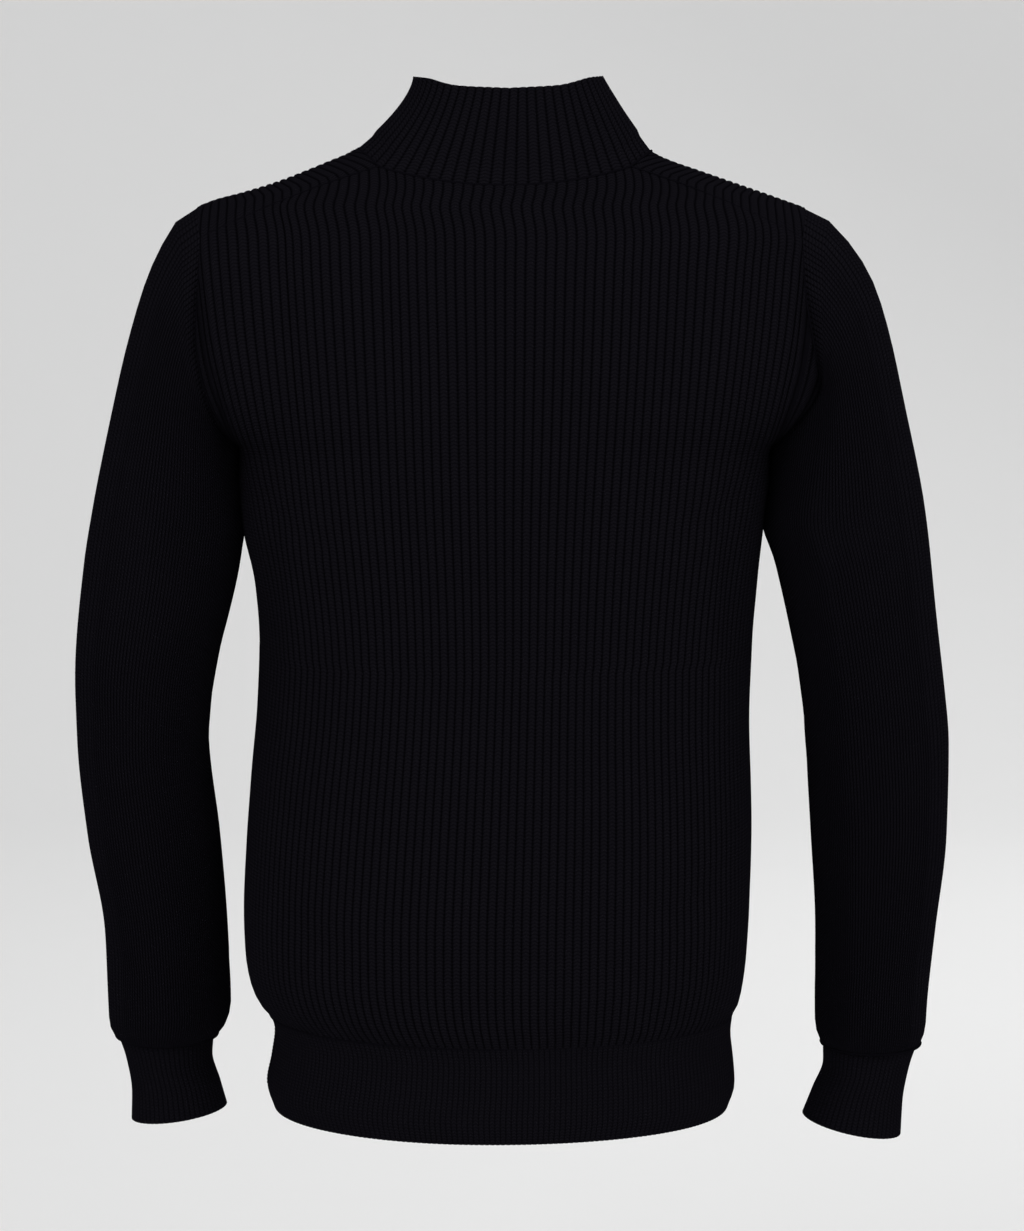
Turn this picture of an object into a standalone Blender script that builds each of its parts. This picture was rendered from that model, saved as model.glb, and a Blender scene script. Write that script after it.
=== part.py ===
"""A zip-up rib-knit cardigan in its worn form: thin panels round an open hollow.

Metres, +Z up. The fronts face -Y and the wearer's left is +X. The origin is in the middle of
the neck opening, level with the shoulders. Every panel is a wall: an outer grid whose columns
are the knit ribs, raised in the outer points, over a plain inner grid.
"""

import math
from typing import Callable, NamedTuple

import bmesh
import bpy
import numpy as np
from mathutils import Vector

# ---------------------------------------------------------------- driving sizes
SEAM_GAP = 0.0003
ELBOW_Z = -0.3860
SEAM_HALF_GAP = 0.0002
WALL_BODY = 0.0018
WALL_TRIM = 0.0018
RIB_BODY = 0.0008
RIB_COLLAR = 0.0009
RIB_TRIM = 0.0005
RIB_CROWDED = 0.0007
RIB_CLEAR = 0.0019

RIBS_BACK = 84
RIBS_FRONT = RIBS_BACK // 2
RIBS_COLLAR = 76
RIBS_HEM_BACK = 44
RIBS_HEM_FRONT = 21
RIBS_CUFF = 28
SEAM_RIBS_SHOULDER = 32
SEAM_RIBS_NECK = 13

HEM_BOTTOM_Z = -0.6600
HEM_SEAM_Z = -0.5927
UNDERARM_Z = -0.1970
FAN_Z = -0.2300
CREST_ZONE_Z = -0.1000

ZIP_EDGE_X = 0.0054
ZIP_CHAIN_HALF = 0.0030
ZIP_TAPE_X = 0.0150
ZIP_TAPE_THICK = 0.0009
ZIP_CHAIN_THICK = 0.0020

DENSE = 240


# ---------------------------------------------------------------- tables
class Section(NamedTuple):
    """One level section of the body: a superellipse about (centre_x, 0)."""

    z: float
    half_width: float
    centre_x: float
    back: float
    front: float
    squareness: float


BODY = (
    Section(-0.6600, 0.1590, 0.0030, 0.1085, 0.1060, 2.15),
    Section(-0.6440, 0.1638, 0.0032, 0.1120, 0.1095, 2.15),
    Section(-0.6240, 0.1612, 0.0022, 0.1105, 0.1085, 2.15),
    Section(-0.6070, 0.1592, 0.0020, 0.1095, 0.1075, 2.15),
    Section(-0.5927, 0.1620, 0.0030, 0.1130, 0.1110, 2.15),
    Section(-0.5860, 0.1658, 0.0040, 0.1165, 0.1145, 2.20),
    Section(-0.5720, 0.1706, 0.0058, 0.1210, 0.1190, 2.25),
    Section(-0.5500, 0.1736, 0.0064, 0.1240, 0.1215, 2.30),
    Section(-0.5150, 0.1748, 0.0062, 0.1240, 0.1215, 2.30),
    Section(-0.4720, 0.1744, 0.0048, 0.1200, 0.1195, 2.30),
    Section(-0.4300, 0.1728, 0.0032, 0.1150, 0.1170, 2.30),
    Section(-0.3730, 0.1697, 0.0012, 0.1080, 0.1145, 2.30),
    Section(-0.3310, 0.1693, 0.0000, 0.1050, 0.1135, 2.30),
    Section(-0.2890, 0.1720, -0.0005, 0.1060, 0.1150, 2.35),
    Section(-0.2480, 0.1762, 0.0012, 0.1085, 0.1175, 2.40),
    Section(-0.2100, 0.1790, 0.0005, 0.1110, 0.1195, 2.40),
    Section(-0.1970, 0.1805, 0.0000, 0.1116, 0.1200, 2.40),
    Section(-0.1860, 0.1930, 0.0000, 0.1122, 0.1204, 2.40),
    Section(-0.1750, 0.2070, 0.0000, 0.1128, 0.1206, 2.40),
    Section(-0.1600, 0.2230, 0.0000, 0.1130, 0.1204, 2.38),
    Section(-0.1400, 0.2340, 0.0000, 0.1130, 0.1190, 2.35),
    Section(-0.1150, 0.2385, 0.0000, 0.1115, 0.1150, 2.32),
    Section(-0.0900, 0.2382, 0.0000, 0.1080, 0.1075, 2.30),
    Section(-0.0700, 0.2350, 0.0000, 0.1030, 0.0985, 2.30),
    Section(-0.0550, 0.2315, -0.0005, 0.0975, 0.0900, 2.30),
    Section(-0.0460, 0.2240, 0.0002, 0.0935, 0.0840, 2.30),
    Section(-0.0352, 0.2072, 0.0030, 0.0870, 0.0760, 2.30),
    Section(-0.0298, 0.1938, 0.0040, 0.0835, 0.0715, 2.30),
    Section(-0.0243, 0.1762, 0.0017, 0.0790, 0.0665, 2.30),
    Section(-0.0164, 0.1526, 0.0006, 0.0720, 0.0590, 2.30),
    Section(-0.0081, 0.1306, 0.0016, 0.0660, 0.0520, 2.30),
    Section(-0.0027, 0.1166, 0.0026, 0.0620, 0.0475, 2.30),
    Section(0.0027, 0.1042, 0.0020, 0.0585, 0.0430, 2.30),
    Section(0.0081, 0.0965, 0.0000, 0.0550, 0.0390, 2.30),
)


class ArmholeStop(NamedTuple):
    """Distance of the armhole seam from the middle, by turn from its top in degrees."""

    turn: float
    left_back: float
    right_back: float
    front: float


ARMHOLE_TOP_Z = -0.0350
ARMHOLE = (
    ArmholeStop(0.0, 0.2098, 0.2042, 0.0),
    ArmholeStop(20.0, 0.2065, 0.2010, 0.2045),
    ArmholeStop(40.0, 0.2035, 0.1985, 0.1995),
    ArmholeStop(65.0, 0.2045, 0.1995, 0.1950),
    ArmholeStop(90.0, 0.2060, 0.2050, 0.1930),
    ArmholeStop(115.0, 0.2020, 0.2120, 0.1925),
    ArmholeStop(130.0, 0.1970, 0.2030, 0.1915),
    ArmholeStop(148.0, 0.1895, 0.1895, 0.1880),
    ArmholeStop(165.0, 0.1825, 0.1825, 0.1825),
    ArmholeStop(180.0, 0.1805, 0.1805, 0.1805),
)
ARMHOLE_HALF_DEPTH = 0.066
LOW_TURNS = (140.0, 160.0)
SEAM_TURN = 38.0
SEAM_TURN_GAP = 0.4
SEAM_LIFT = 0.0004
NECK_CORNER_X = 0.0842
NECK_CORNER_Z = -0.0047
NECK_BACK_Z = -0.0164
SHOULDER_SAG = 0.0030


class NeckStop(NamedTuple):
    """One point of the front neckline, on the body's surface."""

    x: float
    z: float


FRONT_NECK = (
    NeckStop(0.0000, -0.0760),
    NeckStop(0.0250, -0.0715),
    NeckStop(0.0500, -0.0575),
    NeckStop(0.0720, -0.0370),
    NeckStop(0.0880, -0.0150),
)
NECK_SIDE_X = 0.0995
NECK_GAP = 0.0005


class SleeveRing(NamedTuple):
    """One ring of a sleeve: its inner and outer points in the front view, and its depth."""

    inner_x: float
    inner_z: float
    outer_x: float
    outer_z: float
    half_depth: float
    centre_y: float


SLEEVE_LEFT = (
    SleeveRing(0.1838, -0.1974, 0.2200, -0.0405, 0.0690, 0.0010),
    SleeveRing(0.1848, -0.2005, 0.2330, -0.0590, 0.0695, 0.0010),
    SleeveRing(0.1850, -0.2070, 0.2445, -0.0830, 0.0690, 0.0010),
    SleeveRing(0.1845, -0.2160, 0.2560, -0.1190, 0.0680, 0.0010),
    SleeveRing(0.1832, -0.2290, 0.2680, -0.1680, 0.0655, 0.0010),
    SleeveRing(0.1816, -0.2480, 0.2830, -0.2350, 0.0620, 0.0005),
    SleeveRing(0.1848, -0.2780, 0.2898, -0.2780, 0.0595, 0.0000),
    SleeveRing(0.2052, -0.3860, 0.2973, -0.3860, 0.0528, -0.0055),
    SleeveRing(0.2005, -0.4700, 0.2918, -0.4700, 0.0497, -0.0155),
    SleeveRing(0.1968, -0.5400, 0.2818, -0.5400, 0.0476, -0.0250),
    SleeveRing(0.1952, -0.5950, 0.2803, -0.5950, 0.0465, -0.0310),
    SleeveRing(0.1975, -0.6080, 0.2800, -0.6080, 0.0440, -0.0320),
    SleeveRing(0.2045, -0.6185, 0.2765, -0.6185, 0.0380, -0.0325),
)
SLEEVE_RIGHT = (
    SleeveRing(0.1840, -0.1974, 0.2165, -0.0405, 0.0690, 0.0010),
    SleeveRing(0.1850, -0.2005, 0.2350, -0.0590, 0.0700, 0.0010),
    SleeveRing(0.1854, -0.2070, 0.2500, -0.0830, 0.0700, 0.0010),
    SleeveRing(0.1852, -0.2160, 0.2620, -0.1190, 0.0690, 0.0010),
    SleeveRing(0.1842, -0.2290, 0.2733, -0.1680, 0.0665, 0.0010),
    SleeveRing(0.1842, -0.2480, 0.2868, -0.2350, 0.0630, 0.0005),
    SleeveRing(0.1908, -0.2780, 0.2932, -0.2780, 0.0605, 0.0000),
    SleeveRing(0.2074, -0.3860, 0.3062, -0.3860, 0.0538, -0.0055),
    SleeveRing(0.2152, -0.4700, 0.3088, -0.4700, 0.0505, -0.0155),
    SleeveRing(0.2196, -0.5400, 0.3030, -0.5400, 0.0480, -0.0250),
    SleeveRing(0.2203, -0.5950, 0.2992, -0.5950, 0.0465, -0.0310),
    SleeveRing(0.2208, -0.6120, 0.2985, -0.6120, 0.0435, -0.0320),
    SleeveRing(0.2245, -0.6245, 0.2950, -0.6245, 0.0380, -0.0325),
)
CAP_BLEND_RINGS = 6


class CuffRing(NamedTuple):
    """One ring of a cuff, measured down from its seam."""

    drop: float
    inner_x: float
    outer_x: float
    half_depth: float
    tilt: float


CUFF_CENTRE_Y = -0.0325
CUFF_LEFT = (
    CuffRing(0.0000, 0.2078, 0.2735, 0.0330, 0.0000),
    CuffRing(0.0150, 0.2090, 0.2688, 0.0310, 0.0008),
    CuffRing(0.0370, 0.2035, 0.2656, 0.0312, 0.0026),
    CuffRing(0.0560, 0.1990, 0.2664, 0.0325, 0.0048),
)
CUFF_RIGHT = (
    CuffRing(0.0000, 0.2265, 0.2925, 0.0335, 0.0000),
    CuffRing(0.0150, 0.2268, 0.2870, 0.0318, 0.0012),
    CuffRing(0.0380, 0.2195, 0.2820, 0.0330, 0.0040),
    CuffRing(0.0590, 0.2125, 0.2808, 0.0350, 0.0068),
)


class CollarStop(NamedTuple):
    """The collar's top edge, by turn from the back middle in degrees."""

    turn: float
    reach_x: float
    y: float
    z: float


COLLAR_TOP = (
    CollarStop(0.0, 0.0000, 0.0500, 0.0470),
    CollarStop(30.0, 0.0330, 0.0450, 0.0488),
    CollarStop(60.0, 0.0550, 0.0270, 0.0540),
    CollarStop(85.0, 0.0633, 0.0030, 0.0548),
    CollarStop(110.0, 0.0615, -0.0230, 0.0440),
    CollarStop(135.0, 0.0490, -0.0500, 0.0240),
    CollarStop(160.0, 0.0240, -0.0730, 0.0040),
    CollarStop(180.0, 0.0000, -0.0800, -0.0060),
)
COLLAR_SHIFT_X = -0.0020

FLESH = ("black_knit", (0.0037, 0.0034, 0.0049), 0.85, 0.0)
TRIM_KNIT = ("black_rib", (0.0036, 0.0033, 0.0047), 0.85, 0.0)
TAPE_CLOTH = ("black_tape", (0.0060, 0.0060, 0.0070), 0.75, 0.0)
DARK_METAL = ("dark_metal", (0.0450, 0.0450, 0.0480), 0.35, 1.0)

Array = np.ndarray


# ---------------------------------------------------------------- curves and tables
def smooth_row(knots: Array, values: Array, at: Array) -> Array:
    """Read a table at new places with a monotone cubic through its rows."""
    step = np.diff(knots)
    rise = np.diff(values) / step
    slope = np.empty_like(values)
    slope[0] = rise[0]
    slope[-1] = rise[-1]
    left = rise[:-1]
    right = rise[1:]
    same_way = left * right > 0.0
    weight_a = 2.0 * step[1:] + step[:-1]
    weight_b = step[1:] + 2.0 * step[:-1]
    safe_left = np.where(same_way, left, 1.0)
    safe_right = np.where(same_way, right, 1.0)
    harmonic = (weight_a + weight_b) / (weight_a / safe_left + weight_b / safe_right)
    slope[1:-1] = np.where(same_way, harmonic, 0.0)
    at = np.clip(at, knots[0], knots[-1])
    index = np.clip(np.searchsorted(knots, at, side="right") - 1, 0, len(step) - 1)
    width = step[index]
    part = (at - knots[index]) / width
    start = values[index] * (1.0 + 2.0 * part) * (1.0 - part) ** 2
    start_slope = slope[index] * width * part * (1.0 - part) ** 2
    end = values[index + 1] * part * part * (3.0 - 2.0 * part)
    end_slope = slope[index + 1] * width * part * part * (part - 1.0)
    return start + start_slope + end + end_slope


def column_of(table: tuple, name: str) -> Array:
    """One named column of a table as an array."""
    return np.array([getattr(row, name) for row in table])


BODY_Z = column_of(BODY, "z")


def body_value(name: str, z: Array) -> Array:
    """A body size at the heights z."""
    return smooth_row(BODY_Z, column_of(BODY, name), np.atleast_1d(np.asarray(z, float)))


def resample(points: Array, fractions: Array) -> Array:
    """Points at the given fractions of a polyline's length."""
    steps = np.linalg.norm(np.diff(points, axis=0), axis=1)
    length = np.concatenate([[0.0], np.cumsum(steps)])
    wanted = fractions * length[-1]
    return np.stack([np.interp(wanted, length, points[:, axis]) for axis in range(3)], axis=1)


def surface_y(x: Array, z: Array, side: int) -> Array:
    """Depth of the body's surface at (x, z): side +1 is the back, -1 the front."""
    depth = body_value("back" if side > 0 else "front", z)
    power = body_value("squareness", z)
    reach = np.abs(x - body_value("centre_x", z)) / body_value("half_width", z)
    reach = np.minimum(reach, 1.0)
    return side * depth * (1.0 - reach ** power) ** (1.0 / power)


def level_of(points: Array) -> Array:
    """How far points lie from the body's surface: 1 on it, less inside it."""
    x = points[:, 0]
    y = points[:, 1]
    z = points[:, 2]
    depth = np.where(y > 0.0, body_value("back", z), body_value("front", z))
    reach = np.abs(x - body_value("centre_x", z)) / body_value("half_width", z)
    power = body_value("squareness", z)
    return reach ** power + (np.abs(y) / depth) ** power


def surface_z(x: Array, y: Array) -> Array:
    """Height of the shoulders' surface over (x, y)."""
    low = np.full_like(x, CREST_ZONE_Z)
    high = np.full_like(x, BODY_Z[-1])
    for _ in range(40):
        middle = 0.5 * (low + high)
        inside = level_of(np.stack([x, y, middle], axis=1)) < 1.0
        low = np.where(inside, middle, low)
        high = np.where(inside, high, middle)
    return 0.5 * (low + high)


def body_normals(grid: Array) -> Array:
    """Unit normals of the body's surface, from the slope of its level."""
    points = grid.reshape(-1, 3)
    slope = np.empty_like(points)
    for axis, step in enumerate((0.0004, 0.0004, 0.0020)):
        move = np.zeros(3)
        move[axis] = step
        slope[:, axis] = (level_of(points + move) - level_of(points - move)) / (2.0 * step)
    slope = slope / np.linalg.norm(slope, axis=1, keepdims=True)
    return slope.reshape(grid.shape)


def half_section(z: float, side: int) -> Array:
    """Half of the level section at z, from the left side round to the right side."""
    turn = np.linspace(0.0, math.pi, DENSE)
    power = 2.0 / body_value("squareness", z)[0]
    width = body_value("half_width", z)[0]
    depth = body_value("back" if side > 0 else "front", z)[0]
    cosine = np.cos(turn)
    x = body_value("centre_x", z)[0] + width * np.sign(cosine) * np.abs(cosine) ** power
    y = side * depth * np.abs(np.sin(turn)) ** power
    return np.stack([x, y, np.full_like(x, z)], axis=1)


def section_row(z: float, side: int, fractions: Array, start_x: float | None = None) -> Array:
    """Evenly spaced points of a half section, or of a front quarter from start_x outwards."""
    points = half_section(z, side)
    if start_x is None:
        ends = points
    elif start_x > 0.0:
        ends = points[points[:, 0] > start_x][::-1]
    else:
        ends = points[points[:, 0] < start_x]
    if start_x is not None:
        first = ends[0].copy()
        first[0] = start_x
        first[1] = surface_y(np.array([start_x]), np.array([z]), side)[0]
        ends = np.vstack([first, ends])
    row = resample(ends, fractions)
    row[:, 1] = side * np.maximum(np.abs(row[:, 1]), SEAM_HALF_GAP)
    return row


# ---------------------------------------------------------------- seams
def armhole_point(turn: Array, wing: int, side: int) -> Array:
    """Points of one armhole seam: wing +1 left or -1 right, side +1 back or -1 front."""
    turn = np.atleast_1d(np.asarray(turn, float))
    turns = column_of(ARMHOLE, "turn")
    middle_z = 0.5 * (ARMHOLE_TOP_Z + UNDERARM_Z)
    half_z = 0.5 * (ARMHOLE_TOP_Z - UNDERARM_Z)
    top_name = "left_back" if wing > 0 else "right_back"
    if side > 0:
        reaches = column_of(ARMHOLE, top_name)
    else:
        reaches = column_of(ARMHOLE, "front").copy()
        reaches[0] = getattr(ARMHOLE[0], top_name)
    z = middle_z + half_z * np.cos(np.radians(turn))
    depth = body_value("back" if side > 0 else "front", z)
    power = body_value("squareness", z)
    round_y = ARMHOLE_HALF_DEPTH * np.abs(np.sin(np.radians(turn)))
    round_x = body_value("half_width", z) * (1.0 - (round_y / depth) ** power) ** (1.0 / power)
    low = np.clip((turn - LOW_TURNS[0]) / (LOW_TURNS[1] - LOW_TURNS[0]), 0.0, 1.0)
    low = low * low * (3.0 - 2.0 * low)
    x = wing * (smooth_row(turns, reaches, turn) * (1.0 - low) + round_x * low)
    y = surface_y(x, z, side)
    y = side * np.maximum(np.abs(y), SEAM_HALF_GAP)
    return np.stack([x, y, z], axis=1)


def shoulder_seam(part: Array, wing: int, lift: float) -> Array:
    """Shoulder seam on the back, from the neck corner (0) to the armhole (1)."""
    tip = armhole_point(SEAM_TURN, wing, 1)[0]
    x = wing * NECK_CORNER_X + (tip[0] - wing * NECK_CORNER_X) * part
    z = NECK_CORNER_Z + (tip[2] - NECK_CORNER_Z) * part + lift
    z = z + SHOULDER_SAG * np.sin(math.pi * part)
    return np.stack([x, surface_y(x, z, 1), z], axis=1)


def back_neck(part: Array, wing: int) -> Array:
    """Back neckline from the middle (0) to the shoulder seam (1)."""
    x = wing * NECK_CORNER_X * part
    z = NECK_BACK_Z + (NECK_CORNER_Z - NECK_BACK_Z) * part ** 2
    return np.stack([x, surface_y(x, z, 1), z], axis=1)


def front_neck(wing: int) -> Array:
    """Front neckline from the zip edge, over the side of the neck, to the shoulder seam."""
    xs = column_of(FRONT_NECK, "x")
    zs = column_of(FRONT_NECK, "z")
    low_x = np.linspace(ZIP_EDGE_X, xs[-1], 60)
    low_z = smooth_row(xs, zs, low_x)
    low = np.stack([wing * low_x, surface_y(wing * low_x, low_z, -1), low_z], axis=1)
    corner = shoulder_seam(np.array([0.0]), wing, SEAM_LIFT)[0]
    depth = np.linspace(low[-1][1], corner[1], 60)[1:]
    front_pull = (NECK_SIDE_X - xs[-1]) / low[-1][1] ** 2
    back_pull = (NECK_SIDE_X - abs(corner[0])) / corner[1] ** 2
    x = wing * (NECK_SIDE_X - np.where(depth < 0.0, front_pull, back_pull) * depth ** 2)
    return np.vstack([low, np.stack([x, depth, surface_z(x, depth)], axis=1)])


def on_crest(x: Array, angle: Array) -> Array:
    """Body surface over the shoulder: angle 0 is the front at CREST_ZONE_Z, pi the back."""
    low = np.zeros_like(x)
    high = np.full_like(x, 0.30)
    for _ in range(40):
        middle = 0.5 * (low + high)
        y = -middle * np.cos(angle)
        z = CREST_ZONE_Z + middle * np.sin(angle)
        depth = np.where(y > 0.0, body_value("back", z), body_value("front", z))
        power = body_value("squareness", z)
        reach = np.abs(x - body_value("centre_x", z)) / body_value("half_width", z)
        level = reach ** power + (np.abs(y) / depth) ** power
        inside = (level < 1.0) & (z < BODY_Z[-1])
        low = np.where(inside, middle, low)
        high = np.where(inside, high, middle)
    radius = 0.5 * (low + high)
    return np.stack([x, -radius * np.cos(angle), CREST_ZONE_Z + radius * np.sin(angle)], axis=1)


# ---------------------------------------------------------------- panel grids
RIBS_TO_SHOULDER = SEAM_RIBS_SHOULDER / RIBS_FRONT
RIBS_TO_NECK = SEAM_RIBS_NECK / RIBS_FRONT
ARMHOLE_SPREAD = 1.35
NECK_SPREAD = 1.25
LEVEL_STEPS = 80
CLIMB_STEPS = 40


def split_boundary(share: float, wing: int, back: bool) -> Array:
    """Where the rib at this share of the half width (0 middle, 1 side seam) ends."""
    if share >= RIBS_TO_SHOULDER:
        part = (share - RIBS_TO_SHOULDER) / (1.0 - RIBS_TO_SHOULDER)
        part = 1.0 - (1.0 - part) ** ARMHOLE_SPREAD
        if back:
            edge = armhole_point(np.linspace(SEAM_TURN, 180.0, DENSE), wing, 1)
        else:
            over = armhole_point(np.linspace(SEAM_TURN - SEAM_TURN_GAP, 0.0, 60), wing, 1)
            down = armhole_point(np.linspace(0.0, 180.0, DENSE), wing, -1)
            edge = np.vstack([over[:-1], down])
        return resample(edge, np.array([part]))[0]
    if share >= RIBS_TO_NECK:
        part = (share - RIBS_TO_NECK) / (RIBS_TO_SHOULDER - RIBS_TO_NECK)
        lift = 0.0 if back else SEAM_LIFT
        seam = shoulder_seam(np.linspace(0.0, 1.0, DENSE), wing, lift)
        return resample(seam, np.array([part]))[0]
    part = share / RIBS_TO_NECK
    if back:
        return resample(back_neck(np.linspace(0.0, 1.0, DENSE), wing), np.array([part]))[0]
    return resample(front_neck(wing), np.array([part ** NECK_SPREAD]))[0]


def section_arc(z: float, wing: int, side: int) -> tuple[Array, Array]:
    """Positions across a level section and their arc lengths, from its middle or zip edge."""
    points = half_section(z, side)
    steps = np.linalg.norm(np.diff(points, axis=0), axis=1)
    arc = np.concatenate([[0.0], np.cumsum(steps)])
    if side > 0:
        start = 0.5 * arc[-1]
    else:
        start = float(np.interp(-wing * ZIP_EDGE_X, -points[:, 0], arc))
    if wing > 0:
        return points[::-1, 0], (start - arc)[::-1]
    return points[:, 0], arc - start


class ArmholeLevels(NamedTuple):
    """An armhole seam by height: the rib share that ends there, and its arc position."""

    z: Array
    share: Array
    arc: Array


def armhole_levels(wing: int, side: int) -> ArmholeLevels:
    """Which rib ends at each height of one side of an armhole."""
    if side > 0:
        over_length = 0.0
        turn = np.linspace(SEAM_TURN, 180.0, LEVEL_STEPS)
    else:
        over = armhole_point(np.linspace(SEAM_TURN - SEAM_TURN_GAP, 0.0, 60), wing, 1)
        over_length = float(np.linalg.norm(np.diff(over, axis=0), axis=1).sum())
        turn = np.linspace(0.0, 180.0, LEVEL_STEPS)
    edge = armhole_point(turn, wing, side)
    steps = np.linalg.norm(np.diff(edge, axis=0), axis=1)
    length = over_length + np.concatenate([[0.0], np.cumsum(steps)])
    part = 1.0 - (1.0 - length / length[-1]) ** (1.0 / ARMHOLE_SPREAD)
    share = RIBS_TO_SHOULDER + (1.0 - RIBS_TO_SHOULDER) * part
    arcs = []
    for x, _, z in edge:
        across, arc = section_arc(z, wing, side)
        order = np.argsort(across)
        arcs.append(np.interp(x, across[order], arc[order]))
    return ArmholeLevels(edge[::-1, 2], share[::-1], np.array(arcs)[::-1])


class CrestEdges(NamedTuple):
    """Neckline and armhole of a front over the shoulder, by angle about CREST_ZONE_Z."""

    neck_angle: Array
    neck_share: Array
    neck_x: Array
    arm_angle: Array
    arm_share: Array
    arm_x: Array


def crest_angle(points: Array) -> Array:
    """Angle over the shoulder: 0 at the front at CREST_ZONE_Z, pi at the back."""
    return np.arctan2(points[:, 2] - CREST_ZONE_Z, -points[:, 1])


def crest_edges(wing: int) -> CrestEdges:
    """Both edges of a front over the shoulder."""
    neck_share = np.linspace(0.0, RIBS_TO_NECK, LEVEL_STEPS)
    neck = np.array([split_boundary(share, wing, False) for share in neck_share])
    arm_share = np.linspace(1.0, RIBS_TO_SHOULDER, LEVEL_STEPS)
    arm = np.array([split_boundary(share, wing, False) for share in arm_share])
    high = (arm[:, 2] > CREST_ZONE_Z) | (arm[:, 1] > 0.0)
    return CrestEdges(crest_angle(neck), neck_share, neck[:, 0],
                      crest_angle(arm[high]), arm_share[high], arm[high][:, 0])


def crest_x(angle: Array, share: float, edges: CrestEdges) -> Array:
    """Place across the shoulder of the rib with this share, between neckline and armhole."""
    neck_share = np.interp(angle, edges.neck_angle, edges.neck_share)
    neck_x = np.interp(angle, edges.neck_angle, edges.neck_x)
    arm_share = np.interp(angle, edges.arm_angle, edges.arm_share)
    arm_x = np.interp(angle, edges.arm_angle, edges.arm_x)
    return neck_x + (arm_x - neck_x) * (share - neck_share) / (arm_share - neck_share)


def rib_path(start: Array, end: Array, side: int, wing: int, share: float,
             seam: ArmholeLevels, edges: CrestEdges | None) -> Array:
    """Path of one rib over the body from its start at FAN_Z to its end on a seam.

    At each height the ribs share out the arc from the middle to the armhole, and over the
    shoulder the width from neckline to armhole.
    """
    over_crest = side < 0 and end[2] > CREST_ZONE_Z
    z = np.linspace(start[2], CREST_ZONE_Z if over_crest else end[2], CLIMB_STEPS)
    spread = []
    for level in z:
        across, arc = section_arc(level, wing, side)
        if level <= UNDERARM_Z:
            wanted = arc[np.argmax(wing * across)] * share
        else:
            reach = np.interp(level, seam.z, seam.arc) / np.interp(level, seam.z, seam.share)
            wanted = reach * share
        order = np.argsort(arc)
        spread.append(np.interp(wanted, arc[order], across[order]))
    x = np.array(spread)
    y = side * np.maximum(np.abs(surface_y(x, z, side)), SEAM_HALF_GAP)
    path = np.stack([x, y, z], axis=1)
    if over_crest:
        angle_end = math.atan2(end[2] - CREST_ZONE_Z, -end[1])
        angle = np.linspace(0.0, angle_end, CLIMB_STEPS)
        over_x = crest_x(angle, share, edges)
        over_x = over_x + (x[-1] - over_x[0]) * (1.0 - angle / angle_end) ** 2
        path = np.vstack([path, on_crest(over_x[1:], angle[1:])])
    return path + (end - path[-1]) * np.linspace(0.0, 1.0, len(path))[:, None] ** 3


BODY_ROWS = (HEM_SEAM_Z + SEAM_HALF_GAP, -0.5780, -0.5520, -0.4600, -0.3300, FAN_Z)
BACK_FAN = np.array((0.29, 0.54, 0.77, 1.0))
FRONT_FAN = np.array((0.30, 0.55, 0.69, 0.80, 0.90, 1.0))


def back_grid(columns: int) -> Array:
    """Back panel: grid[row, column] from the left side seam to the right."""
    fractions = np.linspace(0.0, 1.0, columns + 1)
    rows = [section_row(z, 1, fractions) for z in BODY_ROWS]
    seams = {wing: armhole_levels(wing, 1) for wing in (1, -1)}
    paths = []
    for index, fraction in enumerate(fractions):
        share = abs(1.0 - 2.0 * fraction)
        wing = 1 if fraction <= 0.5 else -1
        end = split_boundary(share, wing, True)
        path = rib_path(rows[-1][index], end, 1, wing, share, seams[wing], None)
        paths.append(resample(path, BACK_FAN))
    upper = np.stack(paths, axis=1)
    return np.concatenate([np.stack(rows), upper], axis=0)


def front_grid(columns: int, wing: int) -> Array:
    """Front panel: grid[row, column] from the zip edge to the side seam."""
    fractions = np.linspace(0.0, 1.0, columns + 1)
    rows = [section_row(z, -1, fractions, wing * ZIP_EDGE_X) for z in BODY_ROWS]
    seam = armhole_levels(wing, -1)
    edges = crest_edges(wing)
    paths = []
    for index, fraction in enumerate(fractions):
        end = split_boundary(fraction, wing, False)
        path = rib_path(rows[-1][index], end, -1, wing, fraction, seam, edges)
        paths.append(resample(path, FRONT_FAN))
    upper = np.stack(paths, axis=1)
    return np.concatenate([np.stack(rows), upper], axis=0)


def hem_grid(columns: int, side: int, start_x: float | None) -> Array:
    """Hem band of the back (side +1) or of one front, from its foot to its seam."""
    levels = (HEM_BOTTOM_Z, -0.6380, HEM_SEAM_Z - SEAM_HALF_GAP)
    fractions = np.linspace(0.0, 1.0, columns + 1)
    return np.stack([section_row(z, side, fractions, start_x) for z in levels])


# ---------------------------------------------------------------- sleeves, cuffs, collar
def armhole_ring(wing: int) -> Array:
    """The whole armhole seam, down the back and up the front, a point at each rib's end."""
    half_ribs = np.arange(2 * SEAM_RIBS_SHOULDER, 2 * RIBS_FRONT + 1) / (2 * RIBS_FRONT)
    down = [split_boundary(share, wing, True) for share in half_ribs]
    up = [split_boundary(share, wing, False) for share in half_ribs[1:-1][::-1]]
    return np.array(down + up)


def sleeve_ring(ring: SleeveRing, wing: int, turn: Array) -> Array:
    """An oval between a ring's inner and outer points, at the turns from its outer point."""
    centre = np.array([wing * 0.5 * (ring.inner_x + ring.outer_x), ring.centre_y,
                       0.5 * (ring.inner_z + ring.outer_z)])
    reach = np.array([wing * 0.5 * (ring.outer_x - ring.inner_x), 0.0,
                      0.5 * (ring.outer_z - ring.inner_z)])
    depth = np.array([0.0, ring.half_depth, 0.0])
    return centre + np.outer(np.cos(turn), reach) + np.outer(np.sin(turn), depth)


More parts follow.
